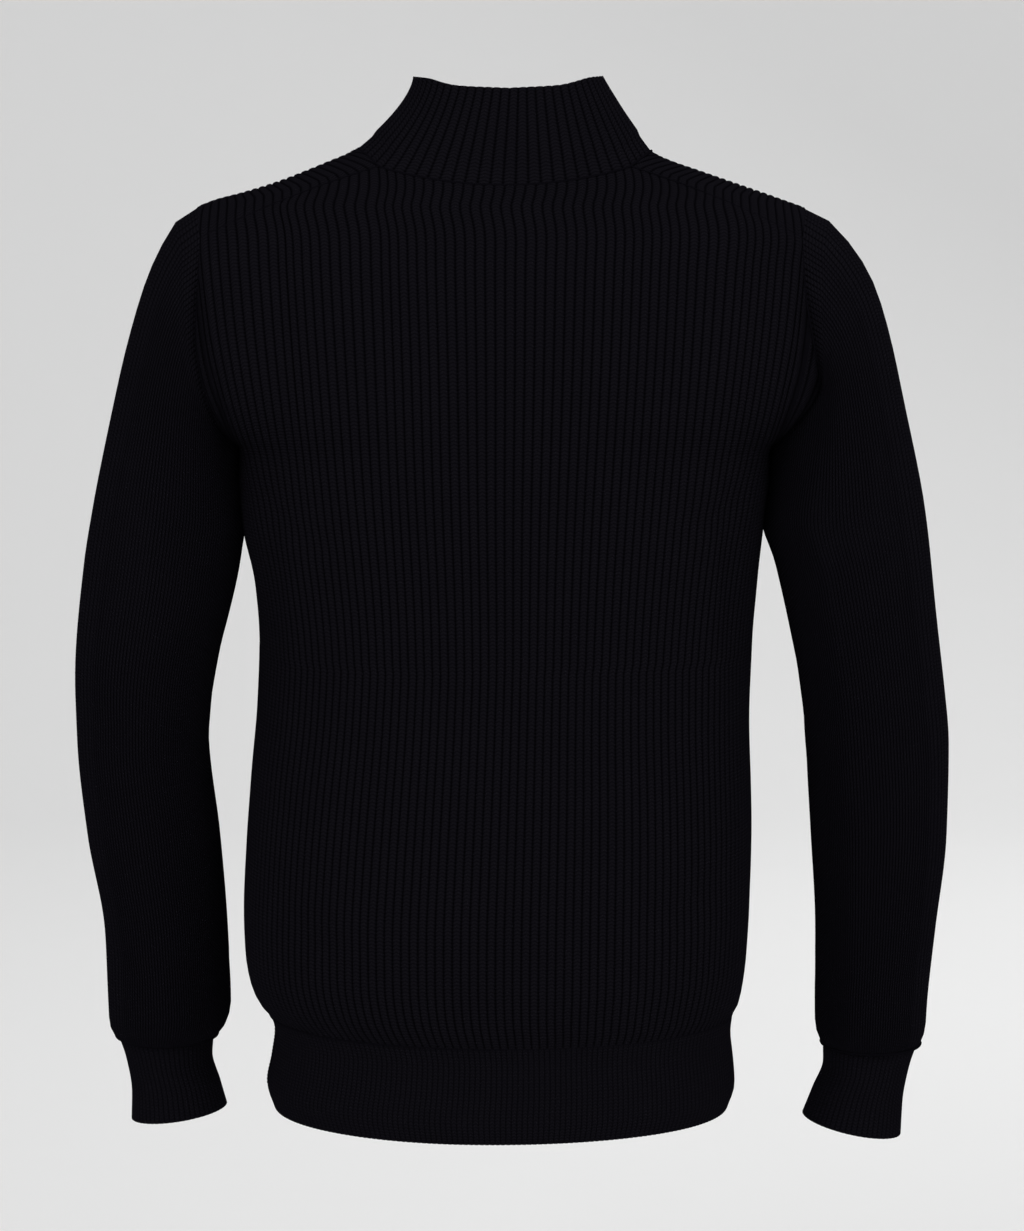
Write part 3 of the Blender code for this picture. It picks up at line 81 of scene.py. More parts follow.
# ---------------------------------------------------------------- curves and tables
class Curve:
    """A monotone cubic through the rows of a table."""

    def __init__(self, knots: Array, values: Array) -> None:
        """Work out the slopes at the knots.

        Args:
            knots: Rising places of the rows.
            values: Sizes at those places.
        """
        self.knots = np.asarray(knots, float)
        self.values = np.asarray(values, float)
        step = np.diff(self.knots)
        rise = np.diff(self.values) / step
        slope = np.empty_like(self.values)
        slope[0], slope[-1] = rise[0], rise[-1]
        left, right = rise[:-1], rise[1:]
        same_way = left * right > 0.0
        weight_a = 2.0 * step[1:] + step[:-1]
        weight_b = step[1:] + 2.0 * step[:-1]
        safe_left = np.where(same_way, left, 1.0)
        safe_right = np.where(same_way, right, 1.0)
        harmonic = (weight_a + weight_b) / (weight_a / safe_left + weight_b / safe_right)
        slope[1:-1] = np.where(same_way, harmonic, 0.0)
        self.step, self.slope = step, slope

    def __call__(self, at: Array) -> Array:
        """Read the curve.

        Args:
            at: Places to read it at.

        Returns:
            The sizes there, held at the ends.
        """
        at = np.clip(np.atleast_1d(np.asarray(at, float)), self.knots[0], self.knots[-1])
        index = np.searchsorted(self.knots, at, side="right") - 1
        index = np.clip(index, 0, len(self.step) - 1)
        width = self.step[index]
        part = (at - self.knots[index]) / width
        rest = 1.0 - part
        start = self.values[index] * (1.0 + 2.0 * part) * rest ** 2
        start_slope = self.slope[index] * width * part * rest ** 2
        end = self.values[index + 1] * part * part * (3.0 - 2.0 * part)
        end_slope = self.slope[index + 1] * width * part * part * (part - 1.0)
        return start + start_slope + end + end_slope


def curves_of(rows: tuple, names: tuple[str, ...]) -> dict[str, Curve]:
    """Curves of every named column against the first one.

    Args:
        rows: Rows of numbers, the first of each being its place.
        names: Names of the columns after the first.

    Returns:
        One curve for each name.
    """
    table = np.array(rows)
    return {name: Curve(table[:, 0], table[:, 1 + place]) for place, name in enumerate(names)}


def resample(points: Array, fractions: Array) -> Array:
    """Points at fractions of a polyline's length.

    Args:
        points: The polyline.
        fractions: Shares of its length, 0 to 1.

    Returns:
        One point for each share.
    """
    steps = np.linalg.norm(np.diff(points, axis=0), axis=1)
    length = np.concatenate([[0.0], np.cumsum(steps)])
    wanted = fractions * length[-1]
    return np.stack([np.interp(wanted, length, points[:, axis]) for axis in range(3)], axis=1)


def finer_columns(grid: Array, factor: int, closed: bool) -> Array:
    """Put more columns into a lattice with a cubic through its own ones.

    Args:
        grid: Lattice of points by row and column.
        factor: New columns for each old one.
        closed: Whether the last column joins the first.

    Returns:
        The finer lattice.
    """
    count = grid.shape[1]
    total = count * factor if closed else (count - 1) * factor + 1
    place = np.arange(total) / factor
    index = np.floor(place).astype(int)
    if not closed:
        index = np.minimum(index, count - 2)
    part = (place - index)[None, :, None]
    near = []
    for step in (-1, 0, 1, 2):
        at = (index + step) % count if closed else np.clip(index + step, 0, count - 1)
        near.append(grid[:, at])
    before, first, second, after = near
    return 0.5 * (2.0 * first + (second - before) * part
                  + (2.0 * before - 5.0 * first + 4.0 * second - after) * part ** 2
                  + (3.0 * (first - second) + after - before) * part ** 3)


def finer_rows(grid: Array, count: int) -> Array:
    """Put smooth new rows into a lattice, evenly along its length.

    Args:
        grid: Lattice of points by row and column.
        count: Rows wanted.

    Returns:
        The lattice with that many rows.
    """
    steps = np.linalg.norm(np.diff(grid, axis=0), axis=2).mean(axis=1)
    length = np.concatenate([[0.0], np.cumsum(steps)])
    wanted = np.linspace(0.0, length[-1], count)
    result = np.empty((count, *grid.shape[1:]))
    for column in range(grid.shape[1]):
        for axis in range(3):
            result[:, column, axis] = Curve(length, grid[:, column, axis])(wanted)
    return result


def lattice_steps(grid: Array, closed: bool) -> tuple[Array, Array]:
    """Steps across and up between each point's neighbours.

    Args:
        grid: Lattice of points by row and column.
        closed: Whether the last column joins the first.

    Returns:
        The steps across the columns and along them.
    """
    up = np.empty_like(grid)
    up[1:-1] = grid[2:] - grid[:-2]
    up[0], up[-1] = grid[1] - grid[0], grid[-1] - grid[-2]
    if closed:
        return np.roll(grid, -1, axis=1) - np.roll(grid, 1, axis=1), up
    across = np.empty_like(grid)
    across[:, 1:-1] = grid[:, 2:] - grid[:, :-2]
    across[:, 0] = grid[:, 1] - grid[:, 0]
    across[:, -1] = grid[:, -1] - grid[:, -2]
    return across, up


def outward(grid: Array, closed: bool) -> Array:
    """Unit normals of a tube's lattice, away from the middle of its rings.

    Args:
        grid: Lattice of points by row and column.
        closed: Whether the last column joins the first.

    Returns:
        One normal for each point.
    """
    across, up = lattice_steps(grid, closed)
    normal = np.cross(across, up)
    normal = normal / np.maximum(np.linalg.norm(normal, axis=2, keepdims=True), 1e-12)
    away = np.sum(normal * (grid - grid.mean(axis=1, keepdims=True)), axis=2)
    return normal if np.median(away) > 0.0 else -normal


def ease(value: Array) -> Array:
    """A smooth step from 0 to 1."""
    value = np.clip(value, 0.0, 1.0)
    return value * value * (3.0 - 2.0 * value)


# ---------------------------------------------------------------- the worn form
BODY_NAMES = ("half_width", "centre_x", "back", "front", "squareness")
BODY = (
    (-0.6600, 0.1590, 0.0030, 0.1085, 0.1060, 2.15),
    (-0.6440, 0.1638, 0.0032, 0.1120, 0.1095, 2.15),
    (-0.6240, 0.1612, 0.0022, 0.1105, 0.1085, 2.15),
    (-0.6070, 0.1592, 0.0020, 0.1095, 0.1075, 2.15),
    (-0.5927, 0.1620, 0.0030, 0.1130, 0.1110, 2.15),
    (-0.5860, 0.1658, 0.0040, 0.1165, 0.1145, 2.20),
    (-0.5720, 0.1706, 0.0058, 0.1210, 0.1190, 2.25),
    (-0.5500, 0.1736, 0.0064, 0.1240, 0.1215, 2.30),
    (-0.5150, 0.1748, 0.0062, 0.1240, 0.1215, 2.30),
    (-0.4720, 0.1744, 0.0048, 0.1200, 0.1195, 2.30),
    (-0.4300, 0.1728, 0.0032, 0.1150, 0.1170, 2.30),
    (-0.3730, 0.1697, 0.0012, 0.1080, 0.1145, 2.30),
    (-0.3310, 0.1693, 0.0000, 0.1050, 0.1135, 2.30),
    (-0.2890, 0.1720, -0.0005, 0.1060, 0.1150, 2.35),
    (-0.2480, 0.1782, 0.0010, 0.1085, 0.1175, 2.40),
    (-0.2100, 0.1812, 0.0003, 0.1110, 0.1195, 2.40),
    (-0.1970, 0.1812, 0.0000, 0.1116, 0.1200, 2.40),
    (-0.1860, 0.1930, 0.0000, 0.1122, 0.1204, 2.40),
    (-0.1750, 0.2070, 0.0000, 0.1128, 0.1206, 2.40),
    (-0.1600, 0.2230, 0.0000, 0.1130, 0.1204, 2.38),
    (-0.1400, 0.2340, 0.0000, 0.1130, 0.1190, 2.35),
    (-0.1150, 0.2385, 0.0000, 0.1115, 0.1150, 2.32),
    (-0.0900, 0.2382, 0.0000, 0.1080, 0.1075, 2.30),
    (-0.0700, 0.2350, 0.0000, 0.1030, 0.0985, 2.30),
    (-0.0550, 0.2315, -0.0005, 0.0975, 0.0900, 2.30),
    (-0.0460, 0.2240, 0.0002, 0.0935, 0.0840, 2.30),
    (-0.0352, 0.2072, 0.0030, 0.0870, 0.0760, 2.30),
    (-0.0298, 0.1938, 0.0040, 0.0835, 0.0715, 2.30),
    (-0.0243, 0.1762, 0.0017, 0.0790, 0.0665, 2.30),
    (-0.0164, 0.1526, 0.0006, 0.0720, 0.0590, 2.30),
    (-0.0081, 0.1306, 0.0016, 0.0660, 0.0520, 2.30),
    (-0.0027, 0.1166, 0.0026, 0.0620, 0.0475, 2.30),
    (0.0027, 0.1042, 0.0020, 0.0585, 0.0430, 2.30),
    (0.0081, 0.0965, 0.0000, 0.0550, 0.0390, 2.30),
)
ARMHOLE_NAMES = ("left_back", "right_back", "front")
ARMHOLE = (
    (0.0, 0.2098, 0.2042, 0.0),
    (20.0, 0.2065, 0.2010, 0.2045),
    (40.0, 0.2035, 0.1985, 0.1995),
    (65.0, 0.2045, 0.1995, 0.1950),
    (90.0, 0.2060, 0.2050, 0.1930),
    (115.0, 0.2020, 0.2120, 0.1925),
    (130.0, 0.1970, 0.2030, 0.1915),
    (148.0, 0.1895, 0.1895, 0.1880),
    (165.0, 0.1825, 0.1825, 0.1825),
    (180.0, 0.1805, 0.1805, 0.1805),
)
FRONT_NECK = (
    (0.0000, -0.0760),
    (0.0250, -0.0715),
    (0.0500, -0.0575),
    (0.0720, -0.0370),
    (0.0880, -0.0150),
)


class Levels(NamedTuple):
    """An armhole seam by height: the rib share that ends there, and its arc position."""

    z: Array
    share: Array
    arc: Array


class Crest(NamedTuple):
    """Neckline and armhole of a front over the shoulder, by angle about the crest."""

    neck_angle: Array
    neck_share: Array
    neck_x: Array
    arm_angle: Array
    arm_share: Array
    arm_x: Array


class Arcs(NamedTuple):
    """Level sections of one side: place across by arc length from the middle."""

    z: Array
    arc: list
    x: list
    reach: Array


@dataclass
class WornForm:
    """The garment's worn surface and its seams."""

    neck_corner_x: float = 0.0842
    neck_corner_z: float = -0.0047
    neck_back_z: float = -0.0164
    neck_side_x: float = 0.0995
    shoulder_sag: float = 0.0030
    seam_turn: float = 38.0
    seam_turn_gap: float = 0.4
    seam_lift: float = 0.0004
    armhole_spread: float = 1.35
    neck_spread: float = 1.25
    fan_power: float = 1.5
    soft_reach: int = 26
    low_turns: tuple[float, float] = (140.0, 160.0)

    def __post_init__(self) -> None:
        """Make the curves of the tables and the arcs of the level sections."""
        self.body = curves_of(BODY, BODY_NAMES)
        self.top_z = BODY[-1][0]
        self.armhole = {side: curves_of(ARMHOLE, ARMHOLE_NAMES) for side in (1, -1)}
        front = [list(row) for row in ARMHOLE]
        self.front_reach = {}
        for wing, name in ((1, 1), (-1, 2)):
            front[0][3] = ARMHOLE[0][name]
            self.front_reach[wing] = Curve(np.array(front)[:, 0], np.array(front)[:, 3])
        self.arcs = {(wing, side): self.section_arcs(wing, side)
                     for wing in (1, -1) for side in (1, -1)}

    def depth(self, side: int, z: Array) -> Array:
        """Half depth of the back (+1) or front (-1) at the heights z."""
        return self.body["back" if side > 0 else "front"](z)

    def half_section(self, z: float, side: int) -> Array:
        """Half of a level section, from the left side round to the right.

        Args:
            z: Its height.
            side: +1 for the back, -1 for the front.

        Returns:
            Points along it.
        """
        turn = np.linspace(0.0, math.pi, DENSE)
        power = 2.0 / self.body["squareness"](z)[0]
        cosine = np.cos(turn)
        x = self.body["centre_x"](z)[0] + (self.body["half_width"](z)[0] * np.sign(cosine)
                                           * np.abs(cosine) ** power)
        y = side * self.depth(side, z)[0] * np.abs(np.sin(turn)) ** power
        return np.stack([x, y, np.full_like(x, z)], axis=1)

    def section_row(self, z: float, side: int, fractions: Array,
                    start_x: float | None = None) -> Array:
        """Evenly spaced points of a level section, or of a front from its zip edge.

        Args:
            z: Height of the section.
            side: +1 for the back, -1 for the front.
            fractions: Shares of the length.
            start_x: Zip edge of a front, or None for the whole half.

        Returns:
            One point for each share.
        """
        points = self.half_section(z, side)
        if start_x is not None:
            wing = 1.0 if start_x > 0.0 else -1.0
            points = points[wing * points[:, 0] > wing * start_x]
            points = points[::-1] if wing > 0.0 else points
            first = points[0].copy()
            first[0] = start_x
            first[1] = self.surface_y(np.array([start_x]), np.array([z]), side)[0]
            points = np.vstack([first, points])
        row = resample(points, fractions)
        row[:, 1] = side * np.maximum(np.abs(row[:, 1]), SEAM_HALF_GAP)
        return row

    def surface_y(self, x: Array, z: Array, side: int) -> Array:
        """Depth of the surface at places in the front view.

        Args:
            x: Places across.
            z: Heights.
            side: +1 for the back, -1 for the front.

        Returns:
            Their y.
        """
        power = self.body["squareness"](z)
        reach = np.abs(x - self.body["centre_x"](z)) / self.body["half_width"](z)
        reach = np.minimum(reach, 1.0)
        return side * self.depth(side, z) * (1.0 - reach ** power) ** (1.0 / power)

    def level_of(self, points: Array) -> Array:
        """How far points lie from the surface.

        Args:
            points: Any points.

        Returns:
            1 for each point on it, less inside it and more outside.
        """
        x, y, z = points.T
        depth = np.where(y > 0.0, self.depth(1, z), self.depth(-1, z))
        reach = np.abs(x - self.body["centre_x"](z)) / self.body["half_width"](z)
        power = self.body["squareness"](z)
        return reach ** power + (np.abs(y) / depth) ** power

    def surface_z(self, x: Array, y: Array) -> Array:
        """Height of the shoulders over places in the plan.

        Args:
            x: Places across.
            y: Places in depth.

        Returns:
            Their z.
        """
        low = np.full_like(x, CREST_ZONE_Z)
        high = np.full_like(x, self.top_z)
        for _ in range(40):
            middle = 0.5 * (low + high)
            inside = self.level_of(np.stack([x, y, middle], axis=1)) < 1.0
            low = np.where(inside, middle, low)
            high = np.where(inside, high, middle)
        return 0.5 * (low + high)

    def normals(self, grid: Array) -> Array:
        """Unit normals of the surface.

        Args:
            grid: Lattice of points on it.

        Returns:
            One normal for each point.
        """
        points = grid.reshape(-1, 3)
        slope = np.empty_like(points)
        for axis, step in enumerate((0.0004, 0.0004, 0.0020)):
            move = np.zeros(3)
            move[axis] = step
            rise = self.level_of(points + move) - self.level_of(points - move)
            slope[:, axis] = rise / (2.0 * step)
        return (slope / np.linalg.norm(slope, axis=1, keepdims=True)).reshape(grid.shape)

    def armhole_point(self, turn: Array, wing: int, side: int) -> Array:
        """Points of an armhole seam.

        Args:
            turn: Turns from its top, in degrees.
            wing: +1 for the left armhole, -1 for the right.
            side: +1 for its back half, -1 for its front half.

        Returns:
            One point for each turn.
        """
        turn = np.atleast_1d(np.asarray(turn, float))
        middle_z = 0.5 * (ARMHOLE_TOP_Z + UNDERARM_Z)
        half_z = 0.5 * (ARMHOLE_TOP_Z - UNDERARM_Z)
        if side > 0:
            reach = self.armhole[1]["left_back" if wing > 0 else "right_back"](turn)
        else:
            reach = self.front_reach[wing](turn)
        z = middle_z + half_z * np.cos(np.radians(turn))
        power = self.body["squareness"](z)
        round_y = ARMHOLE_HALF_DEPTH * np.abs(np.sin(np.radians(turn)))
        round_x = self.body["half_width"](z) * (
            1.0 - (round_y / self.depth(side, z)) ** power) ** (1.0 / power)
        low = ease((turn - self.low_turns[0]) / (self.low_turns[1] - self.low_turns[0]))
        x = wing * (reach * (1.0 - low) + round_x * low)
        y = side * np.maximum(np.abs(self.surface_y(x, z, side)), SEAM_HALF_GAP)
        return np.stack([x, y, z], axis=1)

    def shoulder_seam(self, part: Array, wing: int, lift: float) -> Array:
        """Points of a shoulder seam, which is set to the back.

        Args:
            part: Places from the neck corner (0) to the armhole (1).
            wing: +1 for the left, -1 for the right.
            lift: Height of the front's edge over the back's.

        Returns:
            One point for each place.
        """
        tip = self.armhole_point(self.seam_turn, wing, 1)[0]
        x = wing * self.neck_corner_x + (tip[0] - wing * self.neck_corner_x) * part
        z = self.neck_corner_z + (tip[2] - self.neck_corner_z) * part + lift
        z = z + self.shoulder_sag * np.sin(math.pi * part)
        return np.stack([x, self.surface_y(x, z, 1), z], axis=1)

    def back_neck(self, part: Array, wing: int) -> Array:
        """Points of the back neckline.

        Args:
            part: Places from the middle (0) to a shoulder seam (1).
            wing: +1 for the left, -1 for the right.

        Returns:
            One point for each place.
        """
        x = wing * self.neck_corner_x * part
        z = self.neck_back_z + (self.neck_corner_z - self.neck_back_z) * part ** 2
        return np.stack([x, self.surface_y(x, z, 1), z], axis=1)

    def front_neck(self, wing: int) -> Array:
        """Front neckline from the zip edge over the side of the neck to the shoulder seam.

        Args:
            wing: +1 for the left, -1 for the right.

        Returns:
            Points along it.
        """
        stops = np.array(FRONT_NECK)
        low_x = np.linspace(ZIP_EDGE_X, stops[-1, 0], 90)
        low_z = Curve(stops[:, 0], stops[:, 1])(low_x)
        low_y = self.surface_y(wing * low_x, low_z, -1)
        low = np.stack([wing * low_x, low_y, low_z], axis=1)
        corner = self.shoulder_seam(np.array([0.0]), wing, self.seam_lift)[0]
        depth = np.linspace(low[-1][1], corner[1], 90)[1:]
        front_pull = (self.neck_side_x - stops[-1, 0]) / low[-1][1] ** 2
        back_pull = (self.neck_side_x - abs(corner[0])) / corner[1] ** 2
        pull = np.where(depth < 0.0, front_pull, back_pull)
        x = wing * (self.neck_side_x - pull * depth ** 2)
        return np.vstack([low, np.stack([x, depth, self.surface_z(x, depth)], axis=1)])

    def on_crest(self, x: Array, angle: Array) -> Array:
        """Points of the surface over the shoulder.

        Args:
            x: Places across.
            angle: Angles over the crest: 0 is the front, pi the back.

        Returns:
            One point for each place.
        """
        low, high = np.zeros_like(x), np.full_like(x, 0.30)
        for _ in range(40):
            middle = 0.5 * (low + high)
            y = -middle * np.cos(angle)
            z = CREST_ZONE_Z + middle * np.sin(angle)
            level = self.level_of(np.stack([x, y, z], axis=1))
            inside = (level < 1.0) & (z < self.top_z)
            low = np.where(inside, middle, low)
            high = np.where(inside, high, middle)
        radius = 0.5 * (low + high)
        return np.stack([x, -radius * np.cos(angle),
                         CREST_ZONE_Z + radius * np.sin(angle)], axis=1)

    def boundary(self, share: float, wing: int, back: bool) -> Array:
        """Where a rib ends on the panel's upper edge.

        Args:
            share: Its share of the half width: 0 in the middle, 1 at the side seam.
            wing: +1 for the left, -1 for the right.
            back: Whether it is on the back.

        Returns:
            The point of its end.
        """
        to_shoulder = SEAM_RIBS_SHOULDER / RIBS_FRONT
        to_neck = SEAM_RIBS_NECK / RIBS_FRONT
        if share >= to_shoulder:
            part = (share - to_shoulder) / (1.0 - to_shoulder)
            part = 1.0 - (1.0 - part) ** self.armhole_spread
            if back:
                edge = self.armhole_edge(wing, 1)
            else:
                edge = self.armhole_edge(wing, -1)
            return resample(edge, np.array([part]))[0]
        if share >= to_neck:
            part = (share - to_neck) / (to_shoulder - to_neck)
            lift = 0.0 if back else self.seam_lift
            seam = self.shoulder_seam(np.linspace(0.0, 1.0, DENSE), wing, lift)
            return resample(seam, np.array([part]))[0]
        part = share / to_neck
        if back:
            neck = self.back_neck(np.linspace(0.0, 1.0, DENSE), wing)
            return resample(neck, np.array([part]))[0]
        return resample(self.front_neck(wing), np.array([part ** self.neck_spread]))[0]

    def armhole_edge(self, wing: int, side: int) -> Array:
        """The armhole edge of a panel, from the shoulder seam down.

        Args:
            wing: +1 for the left armhole, -1 for the right.
            side: +1 for the back, -1 for a front.

        Returns:
            Points along it.
        """
        if side > 0:
            return self.armhole_point(np.linspace(self.seam_turn, 180.0, DENSE), wing, 1)
        start = self.seam_turn - self.seam_turn_gap
        over = self.armhole_point(np.linspace(start, 0.0, 60), wing, 1)
        down = self.armhole_point(np.linspace(0.0, 180.0, DENSE), wing, -1)
        return np.vstack([over[:-1], down])

    def section_arcs(self, wing: int, side: int) -> Arcs:
        """Arc lengths of the level sections, from the middle or the zip edge.

        Args:
            wing: +1 for the left half, -1 for the right.
            side: +1 for the back, -1 for the front.

        Returns:
            The sections by height.
        """
        heights = np.linspace(FAN_Z - 0.004, self.top_z, LEVELS)
        arcs, places, reach = [], [], []
        for z in heights:
            points = self.half_section(z, side)
            steps = np.linalg.norm(np.diff(points, axis=0), axis=1)
            arc = np.concatenate([[0.0], np.cumsum(steps)])
            if side > 0:
                start = 0.5 * arc[-1]
            else:
                start = float(np.interp(-wing * ZIP_EDGE_X, -points[:, 0], arc))
            along = (start - arc)[::-1] if wing > 0 else arc - start
            across = points[::-1, 0] if wing > 0 else points[:, 0]
            arcs.append(along)
            places.append(across)
            reach.append(along[-1])
        return Arcs(heights, arcs, places, np.array(reach))

    def x_at(self, arcs: Arcs, z: float, wanted: float) -> float:
        """Place across a level section at an arc length.

        Args:
            arcs: The sections of one side.
            z: Height of the section.
            wanted: Arc length from the middle.

        Returns:
            Its x.
        """
        index = int(np.clip(np.searchsorted(arcs.z, z) - 1, 0, len(arcs.z) - 2))
        part = (z - arcs.z[index]) / (arcs.z[index + 1] - arcs.z[index])
        low = np.interp(wanted, arcs.arc[index], arcs.x[index])
        high = np.interp(wanted, arcs.arc[index + 1], arcs.x[index + 1])
        return float(low + (high - low) * part)

    def arc_at(self, arcs: Arcs, z: float, x: float) -> float:
        """Arc length at a place across a level section.

        Args:
            arcs: The sections of one side.
            z: Height of the section.
            x: The place across.

        Returns:
            Its arc length from the middle.
        """
        index = int(np.clip(np.searchsorted(arcs.z, z) - 1, 0, len(arcs.z) - 2))
        part = (z - arcs.z[index]) / (arcs.z[index + 1] - arcs.z[index])
        found = []
        for row in (index, index + 1):
            order = np.argsort(arcs.x[row])
            found.append(np.interp(x, arcs.x[row][order], arcs.arc[row][order]))
        return float(found[0] + (found[1] - found[0]) * part)

    def armhole_levels(self, wing: int, side: int) -> Levels:
        """Which rib ends at each height of one side of an armhole.

        Args:
            wing: +1 for the left armhole, -1 for the right.
            side: +1 for the back, -1 for the front.

        Returns:
            Heights, rib shares and arc positions, rising.
        """
        if side > 0:
            over_length = 0.0
            turn = np.linspace(self.seam_turn, 180.0, LEVELS)
        else:
            start = self.seam_turn - self.seam_turn_gap
            over = self.armhole_point(np.linspace(start, 0.0, 60), wing, 1)
            over_length = float(np.linalg.norm(np.diff(over, axis=0), axis=1).sum())
            turn = np.linspace(0.0, 180.0, LEVELS)
        edge = self.armhole_point(turn, wing, side)
        steps = np.linalg.norm(np.diff(edge, axis=0), axis=1)
        length = over_length + np.concatenate([[0.0], np.cumsum(steps)])
        part = 1.0 - (1.0 - length / length[-1]) ** (1.0 / self.armhole_spread)
        to_shoulder = SEAM_RIBS_SHOULDER / RIBS_FRONT
        share = to_shoulder + (1.0 - to_shoulder) * part
        arcs = self.arcs[(wing, side)]
        arc = np.array([self.arc_at(arcs, z, x) for x, _, z in edge])
        return Levels(edge[::-1, 2], share[::-1], arc[::-1])

    def crest(self, wing: int) -> Crest:
        """Both edges of a front over the shoulder.

        Args:
            wing: +1 for the left, -1 for the right.

        Returns:
            Angles, rib shares and places of the neckline and the armhole.
        """
        neck_share = np.linspace(0.0, SEAM_RIBS_NECK / RIBS_FRONT, LEVELS)
        neck = np.array([self.boundary(share, wing, False) for share in neck_share])
        arm_share = np.linspace(1.0, SEAM_RIBS_SHOULDER / RIBS_FRONT, LEVELS)
        arm = np.array([self.boundary(share, wing, False) for share in arm_share])
        high = (arm[:, 2] > CREST_ZONE_Z) | (arm[:, 1] > 0.0)
        return Crest(np.arctan2(neck[:, 2] - CREST_ZONE_Z, -neck[:, 1]), neck_share,
                     neck[:, 0], np.arctan2(arm[high][:, 2] - CREST_ZONE_Z, -arm[high][:, 1]),
                     arm_share[high], arm[high][:, 0])

    def softened(self, places: Array) -> Array:
        """Take the bend out of a rib's places across, holding its end.

        Args:
            places: Places across, along the rib.

        Returns:
            The softened places.
        """
        reach = self.soft_reach
        window = np.exp(-(2.2 * np.arange(-reach, reach + 1) / reach) ** 2 / 2.0)
        soft = np.convolve(np.pad(places, reach, mode="edge"), window / window.sum(), "valid")
        hold = np.clip((len(places) - 1.0 - np.arange(len(places))) / reach, 0.0, 1.0)
        return places + (soft - places) * hold

    def path_over(self, low_x: Array, heights: Array, end: Array, share: float,
                  crest: Crest) -> Array:
        """Path of a front's rib up to the shoulder and over its crest.

        Args:
            low_x: Places across below the crest.
            heights: Their heights.
            end: The rib's point on the seam.
            share: Its share of the half width.
            crest: The edges over the shoulder.

        Returns:
            Points along it.
        """
        angle_end = math.atan2(end[2] - CREST_ZONE_Z, -end[1])
        angle = np.linspace(0.0, angle_end, CLIMB_STEPS)
        neck_share = np.interp(angle, crest.neck_angle, crest.neck_share)
        neck_x = np.interp(angle, crest.neck_angle, crest.neck_x)
        arm_share = np.interp(angle, crest.arm_angle, crest.arm_share)
        arm_x = np.interp(angle, crest.arm_angle, crest.arm_x)
        over_x = neck_x + (arm_x - neck_x) * (share - neck_share) / (arm_share - neck_share)
        over_x = over_x + (low_x[-1] - over_x[0]) * (1.0 - angle / angle_end) ** 2
        soft_x = self.softened(np.concatenate([low_x, over_x[1:]]))
        x, over_x = soft_x[:len(low_x)], soft_x[len(low_x) - 1:]
        y = -np.maximum(np.abs(self.surface_y(x, heights, -1)), SEAM_HALF_GAP)
        path = np.stack([x, y, heights], axis=1)
        return np.vstack([path, self.on_crest(over_x[1:], angle[1:])])

    def rib_path(self, start: Array, end: Array, side: int, wing: int, share: float,
                 seam: Levels, crest: Crest | None) -> Array:
        """Path of one rib over the body, from the fan's level to its end on a seam.

        Args:
            start: Its point on the fan's level.
            end: Its point on the seam.
            side: +1 for the back, -1 for the front.
            wing: +1 for the left half, -1 for the right.
            share: Its share of the half width.
            seam: The armhole by height.
            crest: The edges over the shoulder, or None on the back.

        Returns:
            Points along it.
        """
        over = side < 0 and end[2] > CREST_ZONE_Z
        arcs = self.arcs[(wing, side)]
        top = CREST_ZONE_Z if over else end[2]
        if over:
            target = share * np.interp(top, seam.z, seam.arc) / np.interp(top, seam.z, seam.share)
        else:
            target = self.arc_at(arcs, top, end[0])
        heights = np.linspace(start[2], top, CLIMB_STEPS)
        reach = share * np.interp(np.minimum(heights, UNDERARM_Z), arcs.z, arcs.reach)
        climb = np.linspace(0.0, 1.0, CLIMB_STEPS) ** self.fan_power
        wanted = reach + (target - reach[-1]) * climb
        places = [self.x_at(arcs, z, place) for z, place in zip(heights, wanted)]
        if not over:
            x = self.softened(np.array(places))
            y = side * np.maximum(np.abs(self.surface_y(x, heights, side)), SEAM_HALF_GAP)
            path = np.stack([x, y, heights], axis=1)
        else:
            path = self.path_over(np.array(places), heights, end, share, crest)
        return path + (end - path[-1]) * np.linspace(0.0, 1.0, len(path))[:, None] ** 3

    def panel(self, wing: int | None, low_rows: int, fan_rows: int) -> Array:
        """Lattice of the back, or of one front.

        Args:
            wing: None for the back, +1 for the left front, -1 for the right.
            low_rows: Rows from the hem seam up to the fan's level.
            fan_rows: Rows from there to the panel's upper edge.

        Returns:
            Points by row and half rib.
        """
        back = wing is None
        side = 1 if back else -1
        count = 2 * (RIBS_BACK if back else RIBS_FRONT)
        fractions = np.linspace(0.0, 1.0, count + 1)
        start_x = None if back else wing * ZIP_EDGE_X
        heights = np.linspace(HEM_SEAM_Z + SEAM_HALF_GAP, FAN_Z, low_rows)
        rows = [self.section_row(z, side, fractions, start_x) for z in heights]
        wings = (1, -1) if back else (wing,)
        seams = {each: self.armhole_levels(each, side) for each in wings}
        crest = None if back else self.crest(wing)
        fan = np.linspace(0.0, 1.0, fan_rows + 1)[1:]
        paths = []
        for index, fraction in enumerate(fractions):
            share = abs(1.0 - 2.0 * fraction) if back else fraction
            half = (1 if fraction <= 0.5 else -1) if back else wing
            end = self.boundary(share, half, back)
            path = self.rib_path(rows[-1][index], end, side, half, share, seams[half], crest)
            paths.append(resample(path, fan))
        return np.concatenate([np.stack(rows), np.stack(paths, axis=1)], axis=0)

    def armhole_ring(self, wing: int) -> Array:
        """The whole armhole seam, down the back and up the front.

        Args:
            wing: +1 for the left armhole, -1 for the right.

        Returns:
            A point at each rib's end.
        """
        shares = np.arange(2 * SEAM_RIBS_SHOULDER, 2 * RIBS_FRONT + 1) / (2 * RIBS_FRONT)
        down = [self.boundary(share, wing, True) for share in shares]
        up = [self.boundary(share, wing, False) for share in shares[1:-1][::-1]]
        return np.array(down + up)

